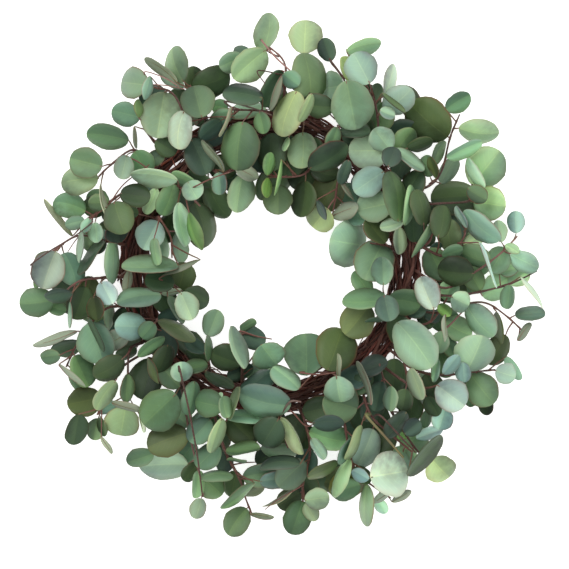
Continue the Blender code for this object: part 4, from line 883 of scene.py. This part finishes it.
def leafMaterial(name, look):
    material, graph, shader = newMaterial(name)
    tone = graph.attribute("tone")
    t, s, _ = graph.split(graph.attribute("leafAt"))  # base to tip, and side to side
    spice, _, rim = graph.split(graph.attribute("spice"))
    depth, warmth, bloom = graph.split(graph.attribute("shade"))
    place = graph.node("ShaderNodeTexCoord", out="Object")
    shifted = graph.vector("ADD", place, graph.join(spice * 3, spice * 5, spice * 7))
    cloudy, mottled, grainy = (graph.noise(*size, shifted) for size in leafNoise)
    across, detail = absolute(s), leafDetail
    narrow, wide = detail["midrib"]
    midrib = 1 - graph.smooth(across, narrow, wide + detail["midribFoot"] * (1 - t))
    midrib = midrib * (1 - graph.smooth(t, *detail["midribFades"]))
    slant = sine((t - across * detail["veinSlant"] + mottled * detail["veinWaver"]) * detail["veins"])
    side = graph.smooth(slant, *detail["veinLine"]) * (1 - graph.smooth(across, *detail["veinFadesOut"]))
    side = side * (1 - graph.smooth(t, *detail["veinFadesUp"]))
    ends = graph.smooth(absolute(t - 0.5), *detail["ends"])
    edge = graph.maths("MAXIMUM", graph.smooth(across, *detail["rim"]), ends)

    # painted shade and painted light: each leaf gets darker and bluer towards one side of its own, as if
    # shaded there, and lighter towards the other; it is also yellower along its middle
    lean = spice * 50
    paintedShadeSlope = (t - 0.5) * cosine(lean) + s * detail["shadeAcross"] * sine(lean)
    lit = graph.smooth(paintedShadeSlope + (cloudy - 0.5) * detail["shadeCloud"], *detail["shade"])
    # a painted shade copy of the tone and a painted lit copy, mixed by how lit each place is painted
    deep = graph.vector("MULTIPLY", tone, graph.join(depth * 1.08, depth * 1.03, depth * (1.16 - warmth)))
    paintedLitTone = graph.vector("MULTIPLY", tone, graph.join(1.19 + warmth * 0.5, 1.16, 1.16 - warmth))
    colour = graph.mix(lit, deep, paintedLitTone)
    inner = (1 - graph.smooth(across, *detail["inner"])) * detail["innerAmount"]
    colour = graph.mix(inner, colour, graph.tint(colour, leafTints["inner"]))
    rimward = graph.smooth(graph.maths("MAXIMUM", across, absolute(t * 2 - 1)), *detail["rimward"])
    colour = graph.mix(rimward, colour, graph.tint(colour, leafTints["rimward"]))
    powder = graph.smooth(cloudy * 0.6 + mottled * 0.4, *detail["powder"]) * bloom
    colour = graph.mix(powder, colour, graph.tint(tone, leafTints["powder"]))
    mottle = (mottled - 0.5) * detail["mottle"] + detail["mottleLeast"]
    colour = graph.mix(mottle, colour, graph.tint(tone, leafTints["mottle"]))

    # painted shade and painted light: one half is darker and the other lighter, as light would fall on a
    # leaf folded a little along its midrib
    half = graph.smooth(s * graph.maths("SIGN", sine(spice * 77)), *detail["halves"])
    dark, pale = (graph.tint(colour, leafTints[name]) for name in ("paintedShadeHalf", "paintedLightHalf"))
    halves = graph.mix(half, dark, pale)
    colour = graph.mix(absolute(sine(spice * 131)) * look["fold"], colour, halves)
    colour = graph.mix(look["chalk"], colour, (*leafTints["chalk"], 1))
    paler = graph.tint(colour, leafTints["vein"])
    colour = graph.mix(side * look["vein"] * detail["sideVein"], colour, paler)
    colour = graph.mix(midrib * look["vein"], colour, paler)
    colour = graph.mix(edge * (look["rim"] + rim * detail["redRim"]), colour, (*leafTints["redRim"], 1))
    height = midrib * -0.6 + side * -0.25 + grainy * 0.08 + mottled * 0.2
    graph.feed(shader, {"Base Color": colour, "Specular IOR Level": look["specular"],
                        "Roughness": look["roughness"] + (mottled - 0.5) * detail["rougher"],
                        "Normal": graph.bump(height, *detail["bump"])})
    return material


def linear(rgb):
    return tuple(((c / 255 + 0.055) / 1.055) ** 2.4 if c > 10 else c / 255 / 12.92 for c in rgb)


def blend3(a, b, share):
    return tuple(x + (y - x) * share for x, y in zip(a, b))


def dressLeaf(leaf, form, seed):  # the fine shape and colour of one leaf
    draw = random.Random(seed)
    leaf["fold"] = draw.uniform(*leafShape["fold"])
    leaf["wave"] = draw.uniform(*leafShape["wave"])
    leaf["spice"] = draw.random()
    leaf["point"] = leafShape["pointed"] * draw.random() ** 2
    leaf["rim"] = draw.random() if draw.random() < leafShape["rimmed"] else 0.0
    shift = 1 + draw.uniform(-1, 1) * leafShape["toneSpread"]
    warm = draw.uniform(-1, 1) * leafShape["warmth"]
    # how dark the leaf's painted shade side is, how warm its painted light and shade are, and how much waxy
    # bloom it has
    leaf["shade"] = (draw.uniform(*leafShape["depth"]), draw.uniform(*leafShape["shadeWarmth"]),
                     leafShape["bloom"] * draw.random() if draw.random() < leafShape["bloomed"] else 0.0)
    tone = linear(leafTones[form["tone"]])
    for mark in form["marks"]:
        tone = tuple(part * change for part, change in zip(tone, leafMarks[mark]))
    grey = 0.25 * tone[0] + 0.65 * tone[1] + 0.10 * tone[2]
    dull = leafShape["dull"] + draw.uniform(-leafShape["dullSpread"], leafShape["dullSpread"])
    tone = blend3((tone[0] * (1 + warm), tone[1], tone[2] * (1 - warm)), (grey, grey, grey), dull)
    leaf["tone"] = tuple(part * shift for part in tone)
    if not form["large"]:
        leaf["cup"] = leaf["length"] * draw.uniform(*leafShape["smallCup"])
    return leaf


def bladesObject(name, leaves, tree, top, under):
    groups = {"size": ("length", "width", "cup"), "bend": ("droop", "fold", "wave"),
              "spice": ("spice", "point", "rim")}
    drawn = {name: [[leaf[key] for key in keys] for leaf in leaves] for name, keys in groups.items()}
    for key in ("base", "axis", "side", "face", "tone", "shade"):
        drawn[key] = [leaf[key] for leaf in leaves]
    obj = runTree(newObject(name, drawn["base"], (), drawn), tree, {"Material": top})
    obj.data.materials.append(under)
    thick = obj.modifiers.new("thickness", "SOLIDIFY")
    thick.thickness = leafShape["thickness"]
    thick.offset = 0
    thick.material_offset = 1
    return plainMesh(obj)


# A sprig's stem and petioles
stemLook = {"sides": 8, "finer": 6, "rootThicker": 1.04, "slimming": 0.22, "nodeSwell": 0.45,
            "swellReach": 3 * mm, "redness": 0.7, "swellRedder": 0.3, "tipTint": 0.8, "roughness": 0.55,
            "specular": 0.4, "fine": (700, 4), "broad": (60, 2), "bump": (0.4, 0.0003)}
petioleLook = {"sides": 6, "stations": 9, "radius": 0.62 * mm, "footThicker": 1.25, "slimming": 0.65,
               "least": 0.6, "most": 1.25, "fullAt": 55 * mm, "bendAt": 0.55, "swerve": 0.05, "sag": 0.10,
               "sagMost": 2.5 * mm, "sagDraw": (-0.4, 1.0), "green": (0.1, 0.9), "insideAt": 0.10,
               "belowBase": 0.30 * mm, "belowFoot": 0.55 * mm}
midribLook = {"radius": 0.22 * mm, "thicker": 1.5, "at": (0.25, 0.42, 0.6, 0.78), "below": 0.42 * mm}
stemTints = {"dark": (0.050, 0.026, 0.022), "red": (0.19, 0.072, 0.056), "green": (0.22, 0.24, 0.09),
             "pink": (0.40, 0.21, 0.19), "grey": (0.17, 0.13, 0.11), "bright": (0.38, 0.075, 0.035),
             "patch": (0.14, 0.056, 0.045), "fleck": (0.34, 0.20, 0.14)}


def tubeTree(material):  # a round tapering tube along each chain of points
    graph, given = newTree("stemTubes", {"Sides": stemLook["sides"], "Material": material})
    curves = graph.node("GeometryNodeMeshToCurve", {"Mesh": given["Geometry"]})
    profile = graph.node("GeometryNodeCurvePrimitiveCircle", {"Resolution": given["Sides"], "Radius": 1.0})
    thick = graph.attribute("thick", "FLOAT")
    tubes = graph.node("GeometryNodeCurveToMesh", {"Curve": curves, "Profile Curve": profile,
                                                   "Scale": thick, "Fill Caps": True})
    finishTree(graph, tubes, given["Material"])
    return graph


def stemMaterial():
    material, graph, shader = newMaterial("stemBark")
    fine, broad = graph.noise(*stemLook["fine"]), graph.noise(*stemLook["broad"])
    tint = graph.attribute("bark")
    colour = graph.mix(graph.smooth(broad, 0.35, 0.7) * 0.45, tint, (*stemTints["patch"], 1))
    colour = graph.mix(graph.smooth(fine, 0.45, 0.75) * 0.35, colour, (*stemTints["fleck"], 1))
    graph.feed(shader, {"Base Color": colour, "Roughness": stemLook["roughness"],
                        "Specular IOR Level": stemLook["specular"],
                        "Normal": graph.bump(fine, *stemLook["bump"])})
    return material


def newTubes():
    return {"points": [], "edges": [], "thick": [], "bark": []}


def tubeChain(tubes, points, radii, tints):
    first = len(tubes["points"])
    tubes["points"] += points
    tubes["edges"] += [(first + n, first + n + 1) for n in range(len(points) - 1)]
    tubes["thick"] += radii
    tubes["bark"] += tints


def tubesObject(name, tubes, sides, material, tree):
    obj = newObject(name, tubes["points"], tubes["edges"], {"thick": tubes["thick"], "bark": tubes["bark"]})
    return runTree(obj, tree, {"Sides": sides, "Material": material})


def growStem(tubes, path, leaves, draw):
    fine = [path[0]] + smoothPath(path[1:], (len(path) - 2) * stemLook["finer"])
    radii, tints = [], []
    redness = draw.uniform(0.0, stemLook["redness"])
    tip = stemTints[draw.choice(("red", "red", "pink", "dark"))]
    for number, point in enumerate(fine):
        share = number / (len(fine) - 1)
        near = min((leaf["root"] - point).length for leaf in leaves)
        swell = stemLook["nodeSwell"] * math.exp(-(near / stemLook["swellReach"]) ** 2)
        slim = stemLook["rootThicker"] - stemLook["slimming"] * share
        radii.append(stemRadiusAt(share) * slim * (1 + swell))
        redder = min(1.0, redness + stemLook["swellRedder"] * swell)
        tint = blend3(stemTints["dark"], stemTints["red"], redder)
        tints.append(blend3(tint, tip, stemLook["tipTint"] * share ** 2))
    tubeChain(tubes, fine, radii, tints)


def bladeLift(leaf, u):  # how high the middle of the blade lies over the flat leaf
    outward = ((u - 0.5) / blade["Rim radius"]) ** 2
    ripple = leaf["wave"] * outward ** 2 * math.sin(30 * leaf["spice"]) * (1 if u < 0.5 else -1)
    return ripple - leaf["cup"] * (1 - outward) - droopAt(leaf, u)


def underBlade(leaf, u, below):
    return onLeaf(leaf, u, 0, bladeLift(leaf, u) - below)


def growPetiole(tubes, leaf, draw):
    root, base, look = leaf["root"], leaf["base"], petioleLook
    gap = (base - root).length
    under = underBlade(leaf, 0.0, look["belowBase"])
    inside = underBlade(leaf, look["insideAt"], look["belowFoot"])
    sag = up * -min(look["sagMost"], look["sag"] * gap) * draw.uniform(*look["sagDraw"])
    swerve = leaf["side"] * gap * draw.uniform(-look["swerve"], look["swerve"])
    middle = root.lerp(base, look["bendAt"]) + sag + swerve
    last = look["stations"]
    points = smoothPath([root, middle, under, inside], last)
    radius = look["radius"] * min(look["most"], look["least"] + leaf["length"] / look["fullAt"])
    red, green = stemTints["red"], stemTints[draw.choice(("green", "green", "pink"))]
    colour = blend3(red, green, draw.uniform(*look["green"]))
    radii = [radius * (look["footThicker"] - look["slimming"] * n / last) for n in range(last + 1)]
    tints = [blend3(red, colour, n / last) for n in range(last + 1)]
    for share in midribLook["at"]:  # the midrib runs on under the blade
        points.append(underBlade(leaf, share, midribLook["below"]))
        radii.append(midribLook["radius"] * (midribLook["thicker"] - share))
        tints.append(colour)
    tubeChain(tubes, points, radii, tints)


# Fine twigs that cross the leaves: their courses in pixels, radius in millimetres, colour and layer
twigLook = {"tries": 13, "riseStep": 2 * mm, "lowest": 3 * mm, "finer": 7, "outOfVine": 0.4, "clearFrom": 5,
            "rootThicker": 1.1, "slimming": 0.35, "redTip": 0.25}
looseTwigs = [
    ([(262, 42), (275, 58), (290, 72)], 1.1, "pink", 3), ([(258, 72), (265, 85)], 0.7, "dark", 3),
    ([(312, 95), (323, 108), (335, 120)], 1.0, "dark", 2), ([(330, 60), (345, 80)], 0.8, "dark", 2),
    ([(225, 102), (250, 108), (272, 116)], 1.0, "grey", 2),
    ([(190, 122), (212, 118), (235, 118)], 0.8, "red", 3),
    ([(200, 185), (215, 178), (230, 173)], 0.8, "red", 3),
    ([(145, 73), (165, 79), (180, 88)], 0.7, "pink", 3),
    ([(140, 85), (165, 86), (185, 90)], 0.7, "pink", 3),
    ([(162, 164), (171, 158), (179, 150)], 1.3, "bright", 0),
    ([(168, 149), (171, 156), (175, 166)], 0.9, "bright", 0),
    ([(110, 205), (124, 185), (150, 165)], 0.8, "red", 2),
    ([(32, 265), (50, 252), (77, 236), (95, 222)], 0.8, "dark", 3),
    ([(240, 331), (256, 336), (272, 339)], 0.9, "red", 3),
    ([(300, 372), (318, 374), (335, 372)], 1.0, "red", 3),
    ([(290, 410), (305, 425), (315, 423)], 1.0, "red", 2),
    ([(180, 366), (190, 410), (198, 455), (203, 496)], 1.1, "dark", 3),
    ([(290, 401), (301, 401)], 1.3, "grey", 3), ([(160, 278), (185, 267), (200, 260)], 0.7, "red", 3),
    ([(300, 486), (278, 499), (265, 509)], 0.6, "red", 3), ([(60, 246), (59, 252)], 0.6, "red", 3),
    ([(75, 243), (69, 252)], 0.6, "red", 3), ([(380, 415), (400, 436), (415, 452)], 1.1, "dark", 3),
    ([(366, 415), (382, 433), (403, 457)], 1.6, "green", 3),
    ([(85, 227), (96, 216), (108, 207)], 0.7, "red", 3),
    ([(120, 158), (134, 160), (150, 170)], 0.9, "red", 2)]


def twigCourse(places, layer, path, rise):
    points = [atPixel(*place) for place in places]
    for point in points:
        point.z = crownHeight(point) + growth["layers"][layer] + rise
    root = alongPath(path, nearestOnPath(path, points[0])[1])
    offset = points[0] - ringMiddle
    if layer == 0 and abs(offset.to_2d().length - layout["ringRadius"]) < layout["vineRadius"]:
        root = points[0].copy()  # out of the top of the vine
        root.z = ringAxis(math.atan2(offset.y, offset.x)).z + twigLook["outOfVine"] * layout["vineRadius"]
    return smoothPath([root] + points, twigLook["finer"] * len(points))


def sleeveTree(points, radius):  # a three-sided tube, for finding what a twig would cross
    corners, faces = [], []
    for number, (a, b) in enumerate(zip(points, points[1:])):
        across = (b - a).cross(up).normalized() * radius
        corners += [a + across, a - across, a + up * radius]
        if number:
            last, first = 3 * number - 3, 3 * number
            faces += [(last + n, last + (n + 1) % 3, first + (n + 1) % 3, first + n) for n in range(3)]
    return BVHTree.FromPolygons(corners, faces)


def growTwig(stems, twig, paths, blocked):  # at the height where it crosses least
    places, radius, colour, layer = twig
    number = nearestSprig(places[0], paths)[1]
    best = None
    for attempt in range(twigLook["tries"]):
        course = twigCourse(places, layer, paths[number], tryRise(twigLook["riseStep"], attempt))
        sleeve = sleeveTree(course[twigLook["clearFrom"]:], radius * mm)
        crossed = sum(len(sleeve.overlap(other)) for other in blocked)
        if min(point.z for point in course) > twigLook["lowest"] and (best is None or crossed < best[0]):
            best = (crossed, course, sleeve)
    crossed, course, sleeve = best
    blocked.append(sleeve)
    shares = [n / (len(course) - 1) for n in range(len(course))]
    radii = [radius * mm * (twigLook["rootThicker"] - twigLook["slimming"] * share) for share in shares]
    tints = [blend3(stemTints[colour], stemTints["red"], twigLook["redTip"] * share) for share in shares]
    tubeChain(stems[number], course, radii, tints)
    return crossed


def joined(name, pieces):  # several plain meshes as one piece
    bpy.ops.object.select_all(action="DESELECT")
    for piece in pieces:
        piece.select_set(True)
    bpy.context.view_layer.objects.active = pieces[0]
    bpy.ops.object.join()
    pieces[0].name = name
    pieces[0].select_set(False)
    return pieces[0]


def growFoliage():  # the leaves of the solids, then small ones and deep ones where they cross nothing
    blocked = [solidTree(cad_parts.values())]
    paths, foliage, fits = [], [], []
    for number, (stem, rows, small) in enumerate(sprigs):
        solidPoints = nodePoints(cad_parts[f"sprig_{number + 1:02d}"])
        path = findStem(stem, solidPoints)
        leaves = []
        for count, row in enumerate(rows, seeds["eachSprig"] * number):
            form = leafForm(row, count)
            leaf = findLeaf(row, form, path, solidPoints)
            fits.append(misfit(leaf, form["large"], solidPoints))
            leaves.append(dressLeaf(leaf, form, seeds["look"] + count))
        paths.append(path)
        foliage.append(leaves)
    print("worst leaf fit, mm:", round(max(fits) * 1000, 2))
    for number, (stem, rows, small) in enumerate(sprigs):
        for count, row in enumerate(small, seeds["eachSprig"] * number):
            form = leafForm(row, seeds["small"] + count)
            leaf = freeLeaf(row, form, paths[number], blocked, growth["triesEachSize"])
            if leaf:
                foliage[number].append(dressLeaf(leaf, form, seeds["smallLook"] + count))
    deep = 0
    for count, row in enumerate(deepLeaves + undergrowthRows()):
        away, number = nearestSprig(footPixel(row), paths)
        if away > undergrowth["farthest"]:
            continue
        form = leafForm(row, seeds["deep"] + count)
        leaf = freeLeaf(row, form, paths[number], blocked, growth["deepTries"])
        if leaf:
            foliage[number].append(dressLeaf(leaf, form, seeds["deepLook"] + count))
            deep += 1
    print("deep leaves:", deep)
    return paths, foliage, blocked


def buildSprigs():
    top, under = leafMaterial("leafTop", leafLook["top"]), leafMaterial("leafUnder", leafLook["under"])
    bark = stemMaterial()
    blades, tubes = bladeTree(top), tubeTree(bark)
    paths, foliage, blocked = growFoliage()
    stems = [newTubes() for path in paths]
    print("loose twigs cross:", [growTwig(stems, twig, paths, blocked) for twig in looseTwigs])
    for number, (path, leaves, stem) in enumerate(zip(paths, foliage, stems)):
        name = f"sprig_{number + 1:02d}"
        draw = random.Random(seeds["stem"] + number)
        growStem(stem, path, leaves, draw)
        petioles = newTubes()
        for leaf in leaves:
            growPetiole(petioles, leaf, draw)
        piece = joined(name + "_dressed", [
            bladesObject(name + "_blades", leaves, blades, top, under),
            tubesObject(name + "_stem", stem, stemLook["sides"], bark, tubes),
            tubesObject(name + "_petioles", petioles, petioleLook["sides"], bark, tubes)])
        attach(piece, "root")
        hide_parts(name)
    print("sprigs done")


# Camera straight above, the frame as wide as the photograph's at the foliage's height
view = {"framePixels": 569, "foliageHeight": 46 * mm, "distance": 4.2, "sensor": 36.0}
light = {"key": {"power": 34.0, "size": 1.6, "place": (-0.9, 1.3, 2.2)},
         "fill": {"power": 16.0, "size": 2.4, "place": (1.3, -0.6, 2.0)},
         "sky": 0.55, "floorSize": 8, "floor": (0.90, 0.90, 0.90), "floorGlow": 0.75}


def buildStage():
    bpy.ops.mesh.primitive_plane_add(size=light["floorSize"])
    floor = bpy.context.object
    floor.name = "floor"
    material, graph, shader = newMaterial("paleFloor")
    graph.feed(shader, {"Base Color": (*light["floor"], 1), "Roughness": 0.9, "Specular IOR Level": 0.1,
                        "Emission Color": (1, 1, 1, 1), "Emission Strength": light["floorGlow"]})
    floor.data.materials.append(material)
    for name in ("key", "fill"):
        lamp = bpy.data.lights.new(name + "Light", "AREA")
        lamp.energy, lamp.size = light[name]["power"], light[name]["size"]
        obj = bpy.data.objects.new(name + "Light", lamp)
        obj.location = light[name]["place"]
        obj.rotation_euler = (-obj.location).to_track_quat("-Z", "Y").to_euler()
        scene.collection.objects.link(obj)
    world = bpy.data.worlds.new("studio")
    world.use_nodes = True
    sky = world.node_tree.nodes["Background"]
    Graph(world.node_tree).feed(sky, {"Color": (1, 1, 1, 1), "Strength": light["sky"]})
    scene.world = world
    scene.view_settings.view_transform = "Standard"

    camera = bpy.data.cameras.new("camera")
    camera.sensor_width = view["sensor"]
    camera.lens = view["sensor"] * view["distance"] / (view["framePixels"] * pixel)
    eye = bpy.data.objects.new("camera", camera)
    half = view["framePixels"] / 2
    eye.location = atPixel(half, half, view["foliageHeight"] + view["distance"])
    scene.collection.objects.link(eye)
    scene.camera = eye
    print("stage done")


buildRing()
buildSprigs()
buildStage()
